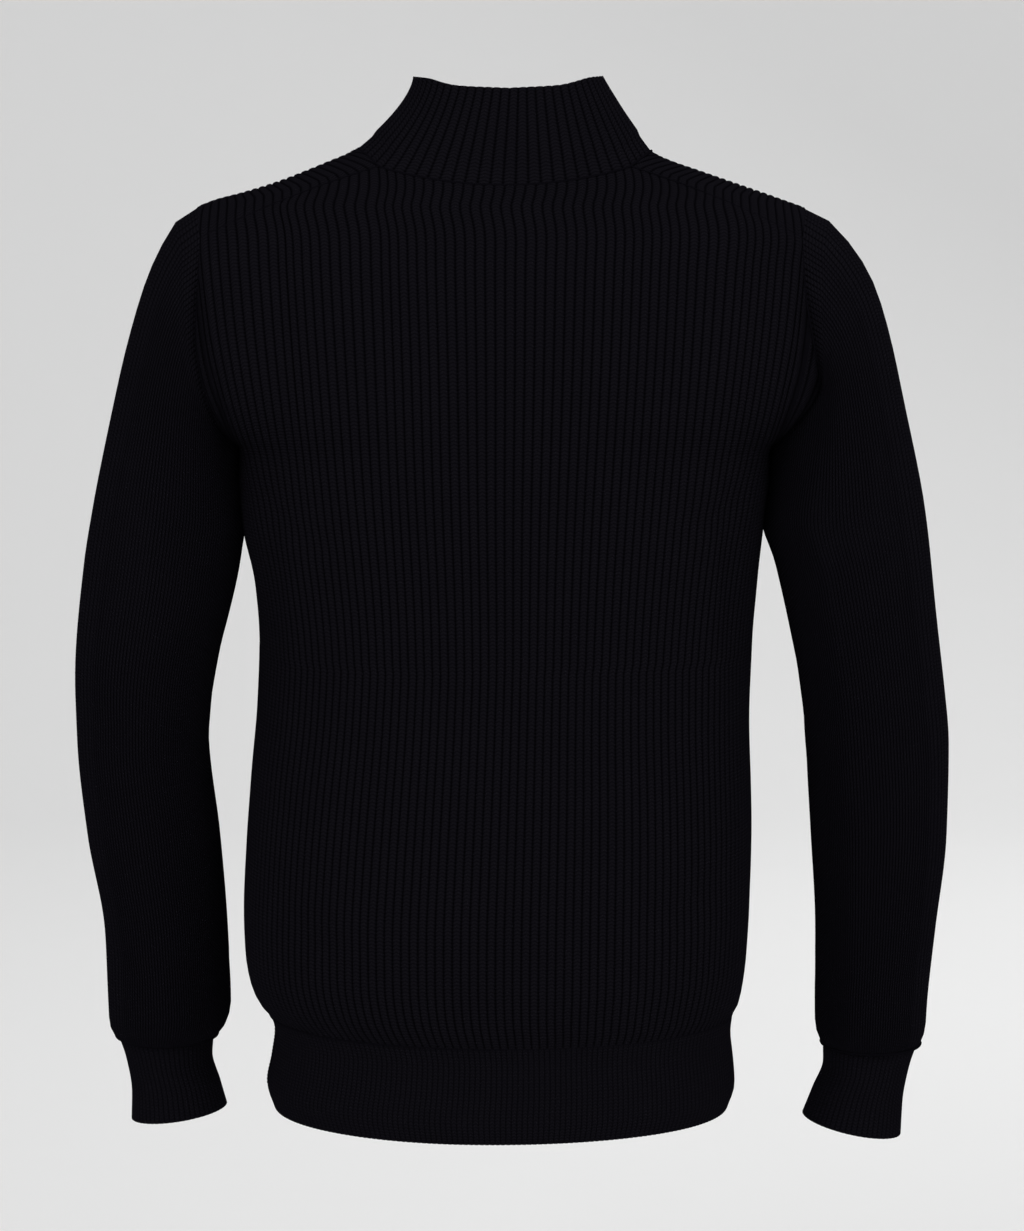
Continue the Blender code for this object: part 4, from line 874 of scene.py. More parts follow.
    def neck_loop(self) -> Array:
        """The whole neckline, from the left zip edge round the back to the right.

        Returns:
            A point at each rib's end.
        """
        shares = np.arange(0, 2 * SEAM_RIBS_NECK + 1) / (2 * RIBS_FRONT)
        left = [self.boundary(share, 1, False) for share in shares]
        left_back = [self.boundary(share, 1, True) for share in shares[-2::-1]]
        right_back = [self.boundary(share, -1, True) for share in shares[1:-1]]
        right = [self.boundary(share, -1, False) for share in shares[::-1]]
        return np.array(left + left_back + right_back + right)


# ---------------------------------------------------------------- sleeves, cuffs and collar
class Ring(NamedTuple):
    """One ring of a sleeve: its inner and outer points in the front view, and its depth."""

    inner_x: float
    inner_z: float
    outer_x: float
    outer_z: float
    half_depth: float
    centre_y: float


SLEEVES = {
    1: (
        Ring(0.1828, -0.1974, 0.2200, -0.0405, 0.0690, 0.0010),
        Ring(0.1826, -0.2005, 0.2330, -0.0590, 0.0695, 0.0010),
        Ring(0.1824, -0.2070, 0.2445, -0.0830, 0.0690, 0.0010),
        Ring(0.1826, -0.2160, 0.2560, -0.1190, 0.0680, 0.0010),
        Ring(0.1812, -0.2290, 0.2680, -0.1680, 0.0655, 0.0010),
        Ring(0.1798, -0.2480, 0.2830, -0.2350, 0.0620, 0.0005),
        Ring(0.1838, -0.2780, 0.2898, -0.2780, 0.0595, 0.0000),
        Ring(0.2035, -0.3700, 0.2972, -0.3700, 0.0535, -0.0040),
        Ring(0.2062, -0.4020, 0.2970, -0.4020, 0.0520, -0.0070),
        Ring(0.2005, -0.4700, 0.2918, -0.4700, 0.0497, -0.0155),
        Ring(0.1968, -0.5400, 0.2818, -0.5400, 0.0476, -0.0250),
        Ring(0.1952, -0.5950, 0.2803, -0.5950, 0.0465, -0.0310),
        Ring(0.1975, -0.6080, 0.2800, -0.6080, 0.0440, -0.0320),
        Ring(0.2045, -0.6185, 0.2765, -0.6185, 0.0380, -0.0325),
    ),
    -1: (
        Ring(0.1826, -0.1974, 0.2165, -0.0405, 0.0690, 0.0010),
        Ring(0.1820, -0.2005, 0.2350, -0.0590, 0.0700, 0.0010),
        Ring(0.1816, -0.2070, 0.2500, -0.0830, 0.0700, 0.0010),
        Ring(0.1808, -0.2160, 0.2620, -0.1190, 0.0690, 0.0010),
        Ring(0.1794, -0.2290, 0.2733, -0.1680, 0.0665, 0.0010),
        Ring(0.1770, -0.2480, 0.2868, -0.2350, 0.0630, 0.0005),
        Ring(0.1872, -0.2780, 0.2932, -0.2780, 0.0605, 0.0000),
        Ring(0.2056, -0.3700, 0.3045, -0.3700, 0.0545, -0.0040),
        Ring(0.2090, -0.4020, 0.3075, -0.4020, 0.0530, -0.0070),
        Ring(0.2152, -0.4700, 0.3088, -0.4700, 0.0505, -0.0155),
        Ring(0.2196, -0.5400, 0.3030, -0.5400, 0.0480, -0.0250),
        Ring(0.2203, -0.5950, 0.2992, -0.5950, 0.0465, -0.0310),
        Ring(0.2208, -0.6120, 0.2985, -0.6120, 0.0435, -0.0320),
        Ring(0.2245, -0.6245, 0.2950, -0.6245, 0.0380, -0.0325),
    ),
}
CAP_BLEND_RINGS = 6
CUFF_NAMES = ("inner_x", "outer_x", "half_depth", "tilt")
CUFF_CENTRE_Y = -0.0325
CUFFS = {
    1: (
        (0.0000, 0.2078, 0.2735, 0.0330, 0.0000),
        (0.0150, 0.2090, 0.2688, 0.0310, 0.0008),
        (0.0370, 0.2035, 0.2656, 0.0312, 0.0026),
        (0.0560, 0.1990, 0.2664, 0.0325, 0.0048),
    ),
    -1: (
        (0.0000, 0.2265, 0.2925, 0.0335, 0.0000),
        (0.0150, 0.2268, 0.2870, 0.0318, 0.0012),
        (0.0380, 0.2195, 0.2820, 0.0330, 0.0040),
        (0.0590, 0.2125, 0.2808, 0.0350, 0.0068),
    ),
}
COLLAR_NAMES = ("reach_x", "y", "z")
COLLAR_TOP = (
    (0.0, 0.0000, 0.0500, 0.0470),
    (30.0, 0.0330, 0.0450, 0.0488),
    (60.0, 0.0550, 0.0270, 0.0540),
    (85.0, 0.0633, 0.0030, 0.0548),
    (110.0, 0.0615, -0.0230, 0.0440),
    (135.0, 0.0490, -0.0500, 0.0240),
    (160.0, 0.0240, -0.0730, 0.0040),
    (180.0, 0.0000, -0.0800, -0.0060),
)


@dataclass
class SleeveForm:
    """The form of one sleeve and its cuff."""

    worn: WornForm
    wing: int
    rows: int = 62
    fine: int = 12
    cuff_rows: int = 18

    def ring(self, ring: Ring, turn: Array) -> Array:
        """An oval between a ring's inner and outer points.

        Args:
            ring: The ring's sizes.
            turn: Turns from its outer point.

        Returns:
            One point for each turn.
        """
        centre = np.array([self.wing * 0.5 * (ring.inner_x + ring.outer_x), ring.centre_y,
                           0.5 * (ring.inner_z + ring.outer_z)])
        reach = np.array([self.wing * 0.5 * (ring.outer_x - ring.inner_x), 0.0,
                          0.5 * (ring.outer_z - ring.inner_z)])
        depth = np.array([0.0, ring.half_depth, 0.0])
        return centre + np.outer(np.cos(turn), reach) + np.outer(np.sin(turn), depth)

    def lattice(self) -> tuple[Array, Array]:
        """Points and normals of the sleeve, from the armhole to the cuff.

        Returns:
            The lattice and its normals, those of the first ring square to the armhole.
        """
        first = self.worn.armhole_ring(self.wing)
        middle_z = 0.5 * (ARMHOLE_TOP_Z + UNDERARM_Z)
        half_z = 0.5 * (ARMHOLE_TOP_Z - UNDERARM_Z)
        turn = np.arctan2(first[:, 1] / ARMHOLE_HALF_DEPTH, (first[:, 2] - middle_z) / half_z)
        top = self.worn.armhole_point(0.0, self.wing, 1)[0]
        seam = Ring(ARMHOLE[-1][3], UNDERARM_Z, abs(top[0]), top[2], ARMHOLE_HALF_DEPTH, 0.0)
        own_form = first - self.ring(seam, turn)
        rings = [first + np.array([self.wing * SEAM_GAP, 0.0, 0.0])]
        for index, ring in enumerate(SLEEVES[self.wing]):
            keep = max(0.0, 1.0 - (index + 1.0) / CAP_BLEND_RINGS)
            rings.append(self.ring(ring, turn) + keep * own_form)
        grid = finer_columns(finer_rows(np.stack(rings), self.rows), self.fine, True)
        normals = outward(grid, True)
        edge = grid[0]
        square = np.stack([np.zeros(len(edge)), edge[:, 1] / ARMHOLE_HALF_DEPTH ** 2,
                           (edge[:, 2] - middle_z) / half_z ** 2], axis=1)
        normals[0] = square / np.linalg.norm(square, axis=1, keepdims=True)
        return grid, normals

    def cuff_lattice(self, columns: int) -> tuple[Array, Array]:
        """Points and normals of the cuff, from its seam to its open end.

        Args:
            columns: Points round it.

        Returns:
            The lattice and its normals.
        """
        seam_z = SLEEVES[self.wing][-1].inner_z - SEAM_GAP
        curves = curves_of(CUFFS[self.wing], CUFF_NAMES)
        turn = np.linspace(0.0, 2.0 * math.pi, columns + 1)[:-1]
        rings = []
        for drop in np.linspace(0.0, CUFFS[self.wing][-1][0], self.cuff_rows):
            size = {name: curve(drop)[0] for name, curve in curves.items()}
            half = 0.5 * (size["outer_x"] - size["inner_x"])
            x = self.wing * (size["inner_x"] + half + half * np.cos(turn))
            y = CUFF_CENTRE_Y + size["half_depth"] * np.sin(turn)
            z = seam_z - drop - size["tilt"] * np.cos(turn)
            rings.append(np.stack([x, y, z], axis=1))
        grid = np.stack(rings)
        return grid, outward(grid, True)


@dataclass
class CollarForm:
    """The form of the stand collar."""

    worn: WornForm
    rows: int = 26
    shift_x: float = -0.0020
    left_flare: float = 1.55
    right_flare: float = 1.05
    neck_gap: float = 0.0005
    flare_from: float = 0.09

    def top(self, columns: int) -> Array:
        """The top edge, from the left zip edge round the back to the right.

        Args:
            columns: Spaces between its points.

        Returns:
            Points along it.
        """
        curves = curves_of(COLLAR_TOP, COLLAR_NAMES)
        sweep = np.linspace(180.0, -180.0, 2 * DENSE)
        size = np.abs(sweep)
        shift = self.shift_x * np.clip((180.0 - size) / 60.0, 0.0, 1.0)
        edge = np.stack([np.sign(sweep) * curves["reach_x"](size) + shift,
                         curves["y"](size), curves["z"](size)], axis=1)
        edge = edge[np.abs(edge[:, 0]) > ZIP_EDGE_X * (size > 120.0)]
        edge[0, 0], edge[-1, 0] = ZIP_EDGE_X, -ZIP_EDGE_X
        return resample(edge, np.linspace(0.0, 1.0, columns + 1))

    def lattice(self, columns: int) -> tuple[Array, Array]:
        """Points and normals from the neck seam to the top edge.

        Args:
            columns: Spaces between the points of a row.

        Returns:
            The lattice and its normals.
        """
        fractions = np.linspace(0.0, 1.0, columns + 1)
        foot = resample(self.worn.neck_loop(), fractions) + (0.0, 0.0, self.neck_gap)
        top = self.top(columns)
        flare = np.where(foot[:, 0] > 0.0, self.left_flare, self.right_flare)
        sideways = np.clip(np.abs(foot[:, 0]) / self.flare_from, 0.0, 1.0) ** 2
        power = 1.0 + (flare - 1.0) * sideways
        rows = []
        for height in np.linspace(0.0, 1.0, self.rows):
            lean = (1.0 - (1.0 - height) ** power)[:, None]
            row = foot * (1.0 - lean) + top * lean
            row[:, 2] = foot[:, 2] * (1.0 - height) + top[:, 2] * height
            rows.append(row)
        grid = np.stack(rows)
        return grid, outward(grid, False)


# ---------------------------------------------------------------- folds
class Cloth(Enum):
    """Which cloth a fold lies in."""

    ALL = 0
    BODY = 1
    LEFT_SLEEVE = 2
    RIGHT_SLEEVE = 3


class Side(Enum):
    """Which side of the garment a fold lies on."""

    ROUND = 0
    BACK = 1
    FRONT = -1


class Fold(NamedTuple):
    """One soft trough (depth below 0) or ridge, placed in the front view."""

    cloth: Cloth
    side: Side
    start: tuple[float, float]
    end: tuple[float, float]
    bow: float
    width: float
    depth: float


BODY_FOLDS = (
    Fold(Cloth.BODY, Side.BACK, (0.157, -0.205), (0.162, -0.385), 0.004, 0.0110, -0.0022),
    Fold(Cloth.BODY, Side.BACK, (0.141, -0.250), (0.150, -0.420), -0.003, 0.0130, 0.0012),
    Fold(Cloth.BODY, Side.BACK, (-0.153, -0.215), (-0.157, -0.365), -0.004, 0.0100, -0.0024),
    Fold(Cloth.BODY, Side.BACK, (-0.138, -0.240), (-0.146, -0.400), 0.002, 0.0120, 0.0011),
    Fold(Cloth.BODY, Side.BACK, (0.170, -0.218), (0.105, -0.262), -0.006, 0.0085, -0.0013),
    Fold(Cloth.BODY, Side.BACK, (-0.168, -0.214), (-0.112, -0.246), 0.005, 0.0080, -0.0015),
    Fold(Cloth.BODY, Side.BACK, (-0.160, -0.470), (-0.085, -0.512), 0.008, 0.0130, -0.0010),
    Fold(Cloth.BODY, Side.BACK, (0.160, -0.500), (0.095, -0.530), -0.006, 0.0120, -0.0011),
    Fold(Cloth.BODY, Side.FRONT, (0.150, -0.190), (0.156, -0.360), 0.004, 0.0110, -0.0023),
    Fold(Cloth.BODY, Side.FRONT, (-0.148, -0.200), (-0.158, -0.390), -0.003, 0.0120, -0.0020),
    Fold(Cloth.BODY, Side.FRONT, (0.168, -0.205), (0.090, -0.255), -0.007, 0.0100, -0.0016),
    Fold(Cloth.BODY, Side.FRONT, (0.160, -0.228), (0.105, -0.305), -0.004, 0.0110, 0.0010),
    Fold(Cloth.BODY, Side.FRONT, (-0.165, -0.208), (-0.098, -0.246), 0.008, 0.0095, -0.0017),
    Fold(Cloth.BODY, Side.FRONT, (0.150, -0.455), (0.070, -0.500), -0.007, 0.0130, -0.0011),
    Fold(Cloth.BODY, Side.FRONT, (-0.155, -0.430), (-0.080, -0.486), 0.006, 0.0120, -0.0010),
)
ARM_FOLDS = (
    Fold(Cloth.LEFT_SLEEVE, Side.ROUND, (0.190, -0.262), (0.236, -0.238), 0.004, 0.008, -0.0022),
    Fold(Cloth.LEFT_SLEEVE, Side.BACK, (0.192, -0.292), (0.252, -0.262), -0.006, 0.010, -0.0014),
    Fold(Cloth.LEFT_SLEEVE, Side.FRONT, (0.196, -0.330), (0.262, -0.345), 0.007, 0.009, -0.0020),
    Fold(Cloth.LEFT_SLEEVE, Side.FRONT, (0.204, -0.372), (0.272, -0.366), -0.008, 0.008, -0.0023),
    Fold(Cloth.LEFT_SLEEVE, Side.FRONT, (0.206, -0.398), (0.258, -0.412), 0.006, 0.009, -0.0017),
    Fold(Cloth.LEFT_SLEEVE, Side.BACK, (0.284, -0.380), (0.236, -0.408), 0.006, 0.011, -0.0010),
    Fold(Cloth.LEFT_SLEEVE, Side.ROUND, (0.200, -0.566), (0.232, -0.552), 0.003, 0.007, -0.0013),
    Fold(Cloth.LEFT_SLEEVE, Side.BACK, (0.276, -0.548), (0.238, -0.574), -0.004, 0.009, -0.0013),
    Fold(Cloth.LEFT_SLEEVE, Side.FRONT, (0.272, -0.536), (0.228, -0.566), 0.005, 0.009, -0.0015),
    Fold(Cloth.RIGHT_SLEEVE, Side.ROUND, (-0.193, -0.258), (-0.244, -0.232), -0.005, 0.008, -0.0021),
    Fold(Cloth.RIGHT_SLEEVE, Side.BACK, (-0.198, -0.300), (-0.250, -0.276), 0.005, 0.009, -0.0015),
    Fold(Cloth.RIGHT_SLEEVE, Side.FRONT, (-0.203, -0.346), (-0.270, -0.352), -0.007, 0.009, -0.0021),
    Fold(Cloth.RIGHT_SLEEVE, Side.FRONT, (-0.208, -0.384), (-0.282, -0.376), 0.008, 0.008, -0.0022),
    Fold(Cloth.RIGHT_SLEEVE, Side.FRONT, (-0.212, -0.416), (-0.266, -0.426), -0.005, 0.009, -0.0016),
    Fold(Cloth.RIGHT_SLEEVE, Side.BACK, (-0.294, -0.396), (-0.246, -0.424), -0.007, 0.011, -0.0010),
    Fold(Cloth.RIGHT_SLEEVE, Side.ROUND, (-0.226, -0.572), (-0.252, -0.556), -0.003, 0.007, -0.0012),
    Fold(Cloth.RIGHT_SLEEVE, Side.BACK, (-0.292, -0.552), (-0.258, -0.582), 0.004, 0.009, -0.0014),
    Fold(Cloth.RIGHT_SLEEVE, Side.FRONT, (-0.290, -0.540), (-0.246, -0.574), -0.005, 0.009, -0.0016),
)
HEM_PUCKERS = (0.151, 0.128, 0.109, 0.082, 0.057, 0.021, -0.012, -0.046, -0.071, -0.103,
               -0.126, -0.149)


@dataclass(frozen=True)
class Folds:
    """All folds of the cloth, and its soft waves."""

    wave: float = 0.0006
    pucker_length: float = 0.034
    pucker_depth: float = 0.0012
    zip_clear: tuple[float, float] = (0.016, 0.050)
    tape_z: float = -0.6080
    tape_width: float = 0.0120
    tape_reach: float = 0.0300
    tape_swell: float = 0.0016

    def one(self, fold: Fold, points: Array, centre_y: float) -> Array:
        """Relief of one fold.

        Args:
            fold: The fold.
            points: Points of the cloth.
            centre_y: Depth of the middle of its tube.

        Returns:
            Its height at each point.
        """
        start, end = np.array(fold.start), np.array(fold.end)
        run = end - start
        length = float(np.linalg.norm(run))
        flat = points[:, (0, 2)] - start
        part = flat @ run / length ** 2
        inside = np.clip(part, 0.0, 1.0)
        across = (flat[:, 0] * run[1] - flat[:, 1] * run[0]) / length
        across = across - fold.bow * 4.0 * inside * (1.0 - inside)
        beyond = np.maximum(np.maximum(-part, part - 1.0), 0.0) * length
        away = across ** 2 + beyond ** 2
        strength = np.sin(math.pi * (0.08 + 0.84 * inside)) ** 0.8
        relief = fold.depth * strength * np.exp(-away / fold.width ** 2)
        if fold.side is Side.ROUND:
            return relief
        facing = (points[:, 1] - centre_y) * fold.side.value
        return relief * ease((facing + 0.006) / 0.030)

    def relief(self, cloth: Cloth, points: Array, centre_y: Array) -> Array:
        """Relief of all folds of a cloth.

        Args:
            cloth: The cloth.
            points: Its points.
            centre_y: Depth of the middle of its tube at each point.

        Returns:
            Height over the plain form at each point.
        """
        total = np.zeros(len(points))
        for fold in BODY_FOLDS + ARM_FOLDS:
            if fold.cloth in (cloth, Cloth.ALL):
                total += self.one(fold, points, centre_y)
        x, y, z = points.T
        soft = (np.sin(23.0 * x + 9.0 * z + 0.7) * np.sin(17.0 * z - 6.0 * x)
                + 0.6 * np.sin(41.0 * z + 19.0 * y + 1.9) * np.sin(29.0 * x + 0.4))
        total += self.wave * soft
        if cloth is Cloth.BODY:
            total += self.puckers(x, y, z)
            clear = self.zip_clear
            near_zip = ease((np.abs(x) - clear[0]) / (clear[1] - clear[0]))
            total *= np.where(y < 0.0, near_zip, 1.0)
            over_tape = np.exp(-((z - self.tape_z) / self.tape_width) ** 2)
            beside_zip = ease((self.tape_reach - np.abs(x)) / 0.012)
            total += np.where(y < 0.0, self.tape_swell * over_tape * beside_zip, 0.0)
        return total

    def puckers(self, x: Array, y: Array, z: Array) -> Array:
        """Short uneven puckers where the body blouses over its hem band.

        Args:
            x: Places across.
            y: Places in depth.
            z: Heights.

        Returns:
            Their height at each point.
        """
        total = np.zeros_like(x)
        over = z - HEM_SEAM_Z
        for index, place in enumerate(HEM_PUCKERS):
            reach = self.pucker_length * (0.7 + 0.5 * math.sin(2.3 * index) ** 2)
            depth = self.pucker_depth * (0.5 + 0.5 * math.cos(1.7 * index) ** 2)
            shift = np.where(y < 0.0, 0.011, 0.0)
            near = np.exp(-((x - place - shift - 0.12 * over) / 0.0065) ** 2)
            along = ease(over / 0.006) * np.exp(-(np.maximum(over, 0.0) / reach) ** 2)
            total -= depth * near * along
        return total


# ---------------------------------------------------------------- shader nodes
class Link:
    """A shader socket with arithmetic: each operator adds its Math node."""

    def __init__(self, graph: "Graph", socket: bpy.types.NodeSocket) -> None:
        """Wrap a socket of a graph."""
        self.graph = graph
        self.socket = socket

    def math(self, operation: str, *others: "Link | float") -> "Link":
        """One Math node on this socket.

        Args:
            operation: Name of its operation.
            others: Its further inputs.

        Returns:
            Its result.
        """
        values = {place: value for place, value in enumerate((self, *others))}
        return self.graph.node("ShaderNodeMath", {"operation": operation}, values)

    def __add__(self, other: "Link | float") -> "Link":
        """Sum."""
        return self.math("ADD", other)

    def __radd__(self, other: float) -> "Link":
        """Sum with a number first."""
        return self.math("ADD", other)

    def __sub__(self, other: "Link | float") -> "Link":
        """Difference."""
        return self.math("SUBTRACT", other)

    def __rsub__(self, other: float) -> "Link":
        """Difference from a number."""
        return self.graph.number_first("SUBTRACT", other, self)

    def __mul__(self, other: "Link | float") -> "Link":
        """Product."""
        return self.math("MULTIPLY", other)

    def __rmul__(self, other: float) -> "Link":
        """Product with a number first."""
        return self.math("MULTIPLY", other)

    def __truediv__(self, other: "Link | float") -> "Link":
        """Quotient."""
        return self.math("DIVIDE", other)

    def __rtruediv__(self, other: float) -> "Link":
        """Quotient of a number."""
        return self.graph.number_first("DIVIDE", other, self)

    def fraction(self) -> "Link":
        """What is left over whole numbers."""
        return self.math("FRACT")

    def size(self) -> "Link":
        """The absolute value."""
        return self.math("ABSOLUTE")

    def power(self, exponent: float) -> "Link":
        """A power of the value."""
        return self.math("POWER", exponent)

    def sine(self) -> "Link":
        """The sine of the value."""
        return self.math("SINE")


class Graph:
    """The node graph of one material."""

    def __init__(self, name: str) -> None:
        """Start a material with its shader and output.

        Args:
            name: Name of the material.
        """
        self.material = bpy.data.materials.new(name)
        self.material.use_nodes = True
        self.tree = self.material.node_tree
        self.tree.nodes.clear()
        self.shader = self.tree.nodes.new("ShaderNodeBsdfPrincipled")
        output = self.tree.nodes.new("ShaderNodeOutputMaterial")
        self.tree.links.new(self.shader.outputs[0], output.inputs["Surface"])

    def plug(self, socket: bpy.types.NodeSocket, value: object) -> None:
        """Put a value or a link into a socket.

        Args:
            socket: The input.
            value: A constant, or a Link.
        """
        if isinstance(value, Link):
            self.tree.links.new(value.socket, socket)
        else:
            socket.default_value = value

    def node(self, kind: str, settings: dict, inputs: dict, output: str | int = 0) -> Link:
        """One node of any type.

        Args:
            kind: Its type.
            settings: Its own settings, set first. A ramp's stops are under "stops".
            inputs: Values or links by socket name or number.
            output: Which output to give back.

        Returns:
            That output.
        """
        node = self.tree.nodes.new(kind)
        for name, value in settings.items():
            if name == "stops":
                elements = node.color_ramp.elements
                while len(elements) < len(value):
                    elements.new(0.5)
                for element, (place, colour) in zip(elements, value):
                    element.position = place
                    element.color = colour
            else:
                setattr(node, name, value)
        for name, value in inputs.items():
            self.plug(node.inputs[name], value)
        return Link(self, node.outputs[output])

    def number_first(self, operation: str, number: float, link: Link) -> Link:
        """A Math node whose first input is a number."""
        return self.node("ShaderNodeMath", {"operation": operation}, {0: number, 1: link})

    def mix(self, factor: Link | float, first: object, second: object) -> Link:
        """A colour between two colours."""
        return self.node("ShaderNodeMix", {"data_type": "RGBA"},
                         {"Factor": factor, 6: first, 7: second}, 2)

    def uv(self) -> tuple[Link, Link]:
        """Rib and course numbers of the knit.

        Returns:
            The ribs, and the courses.
        """
        source = self.node("ShaderNodeUVMap", {"uv_map": UV_NAME}, {})
        split = self.tree.nodes.new("ShaderNodeSeparateXYZ")
        self.tree.links.new(source.socket, split.inputs[0])
        return Link(self, split.outputs[0]), Link(self, split.outputs[1])

    def place(self) -> Link:
        """Place on the object."""
        return self.node("ShaderNodeTexCoord", {}, {}, "Object")

    def noise(self, scale: float, detail: float, rough: float = 0.6) -> Link:
        """Noise over the object.

        Args:
            scale: Its scale.
            detail: Its octaves.
            rough: Its roughness.

        Returns:
            Its value.
        """
        return self.node("ShaderNodeTexNoise", {},
                         {"Vector": self.place(), "Scale": scale, "Detail": detail,
                          "Roughness": rough})

    def finish(self, values: dict) -> bpy.types.Material:
        """Set the shader's sockets.

        Args:
            values: Values or links by socket name.

        Returns:
            The material.
        """
        for name, value in values.items():
            self.plug(self.shader.inputs[name], value)
        return self.material


def grey(red: float, green: float, blue: float) -> tuple[float, float, float, float]:
    """A colour with full alpha."""
    return red, green, blue, 1.0


@dataclass(frozen=True)
class KnitFinish:
    """Matt yarn in rib: stitches in pairs of slanting legs, with painted shade in the grooves
    between ribs and between the loops.
    """

    name: str
    yarn: tuple[float, float, float] = (0.0050, 0.0046, 0.0064)
    # painted shade: the colour laid into the rib grooves and the gaps between loops
    shade: tuple[float, float, float] = (0.0009, 0.0008, 0.0012)
    groove_from: float = 0.58
    # share of painted shade laid into the grooves between ribs
    groove_shade: float = 0.70
    stitch_bump: float = 0.9
    stitch_depth: float = 0.00055
    slope: float = 0.55
    fuzz: float = 0.00012
    roughness: float = 0.92
    gloss: float = 0.0
    sheen: float = 0.0

    def material(self) -> bpy.types.Material:
        """The yarn's material.

        Returns:
            A procedural material on the piece's knit map.
        """
        graph = Graph(self.name)
        rib, course = graph.uv()
        side = (rib.fraction() * 2.0 - 1.0).size()
        leg = (course + side * self.slope).fraction()
        loop = 1.0 - (leg * 2.0 - 1.0).size().power(2.2)
        gap = graph.node("ShaderNodeMapRange", {"interpolation_type": "SMOOTHSTEP"},
                         {"Value": side, "From Min": self.groove_from, "From Max": 1.0})
        spine = graph.node("ShaderNodeMapRange", {"interpolation_type": "SMOOTHSTEP"},
                           {"Value": side, "From Min": 0.22, "From Max": 0.0})
        fibre = graph.noise(2600.0, 3.0)
        cloud = graph.noise(34.0, 3.0, 0.5)
        relief = loop * (1.0 - gap * 0.7) - spine * 0.28
        height = relief * self.stitch_depth + fibre * self.fuzz
        bump = graph.node("ShaderNodeBump", {},
                          {"Strength": self.stitch_bump, "Distance": 1.0, "Height": height})
        # painted shade: darker between the loops and in the grooves between ribs, where shade falls
        between = (1.0 - loop) * 0.42 + gap * self.groove_shade
        dark = graph.node("ShaderNodeMath", {"operation": "MINIMUM"}, {0: between, 1: 0.92})
        lit = graph.mix(cloud, grey(*(0.90 * value for value in self.yarn)),
                        grey(*(1.12 * value for value in self.yarn)))
        speck = graph.mix(fibre * 0.5, lit, grey(*(1.7 * value for value in self.yarn)))
        # the yarn's colour with the painted shade mixed in
        colour = graph.mix(dark, speck, grey(*self.shade))
        rough = self.roughness - 0.08 * cloud
        return graph.finish({"Base Color": colour, "Roughness": rough, "Normal": bump,
                             "Specular IOR Level": self.gloss, "Sheen Weight": self.sheen,
                             "Sheen Roughness": 0.5, "Sheen Tint": grey(0.62, 0.62, 0.72)})


@dataclass(frozen=True)
class SeamFinish:
    """Yarn drawn together in a linked seam."""

    name: str
    yarn: tuple[float, float, float] = (0.0034, 0.0031, 0.0045)

    def material(self) -> bpy.types.Material:
        """The seam's material.

        Returns:
            A procedural material.
        """
        graph = Graph(self.name)
        fibre = graph.noise(1900.0, 3.0)
        bump = graph.node("ShaderNodeBump", {}, {"Strength": 0.6, "Distance": 1.0,
                                                 "Height": fibre * 0.0002})
        colour = graph.mix(fibre, grey(*(0.6 * value for value in self.yarn)),
                           grey(*(1.4 * value for value in self.yarn)))
        return graph.finish({"Base Color": colour, "Roughness": 0.9, "Normal": bump,
                             "Specular IOR Level": 0.0})


@dataclass(frozen=True)
class TapeFinish:
    """Woven zip tape: a fine herringbone."""

    name: str
    pitch: float = 0.0009
    thread: tuple[float, float, float] = (0.0062, 0.0060, 0.0070)

    def material(self) -> bpy.types.Material:
        """The tape's material.

        Returns:
            A procedural material.
        """
        graph = Graph(self.name)
        split = graph.tree.nodes.new("ShaderNodeSeparateXYZ")
        graph.tree.links.new(graph.place().socket, split.inputs[0])
        across = Link(graph, split.outputs[0]) / self.pitch
        along = Link(graph, split.outputs[2]) / self.pitch
        zigzag = ((across * 0.5).fraction() * 2.0 - 1.0).size()
        weave = ((along + zigzag) * (2.0 * math.pi)).sine() * 0.5 + 0.5
        bump = graph.node("ShaderNodeBump", {}, {"Strength": 0.6, "Distance": 1.0,
                                                 "Height": weave * 0.00015})
        # painted shade and highlight: the colour follows the weave's relief, darker in its hollows
        # and paler on its crests
        colour = graph.mix(weave, grey(*(0.55 * value for value in self.thread)),
                           grey(*(1.3 * value for value in self.thread)))
        return graph.finish({"Base Color": colour, "Roughness": 0.72 + 0.1 * weave,
                             "Normal": bump, "Specular IOR Level": 0.12})


@dataclass(frozen=True)
class MetalFinish:
    """Dark lacquered metal, worn paler in patches."""

    name: str
    lacquer: tuple[float, float, float] = (0.045, 0.045, 0.048)
    worn: tuple[float, float, float] = (0.11, 0.105, 0.10)

    def material(self) -> bpy.types.Material:
        """The metal's material.

        Returns:
            A procedural material.
        """
        graph = Graph(self.name)
        patches = graph.noise(900.0, 4.0)
        scratches = graph.noise(3200.0, 2.0)
        wear = graph.node("ShaderNodeMapRange", {"interpolation_type": "SMOOTHSTEP"},
                          {"Value": patches, "From Min": 0.55, "From Max": 0.78})
        colour = graph.mix(wear, grey(*self.lacquer), grey(*self.worn))
        bump = graph.node("ShaderNodeBump", {}, {"Strength": 0.3, "Distance": 1.0,
                                                 "Height": scratches * 0.00004})
        return graph.finish({"Base Color": colour, "Metallic": 0.9, "Normal": bump,
                             "Roughness": 0.30 + 0.22 * scratches})


@dataclass(frozen=True)
class PaperFinish:
    """The pale plain studio floor."""

    name: str
    colour: tuple[float, float, float] = (0.80, 0.80, 0.80)

    def material(self) -> bpy.types.Material:
        """The floor's material.

        Returns:
            A procedural material.
        """
        graph = Graph(self.name)
        grain = graph.noise(6.0, 2.0)
        colour = graph.mix(grain, grey(*(0.99 * value for value in self.colour)),
                           grey(*self.colour))
        return graph.finish({"Base Color": colour, "Roughness": 0.95,
                             "Specular IOR Level": 0.1})


# ---------------------------------------------------------------- knitted pieces
@dataclass(frozen=True)
class Gauge:
    """How a piece is knitted: its ribs and their mesh columns, rib height and course."""

    ribs: int
    columns: int
    height: float
    course: float
    crowded: float = 0.0012
    clear: float = 0.0030


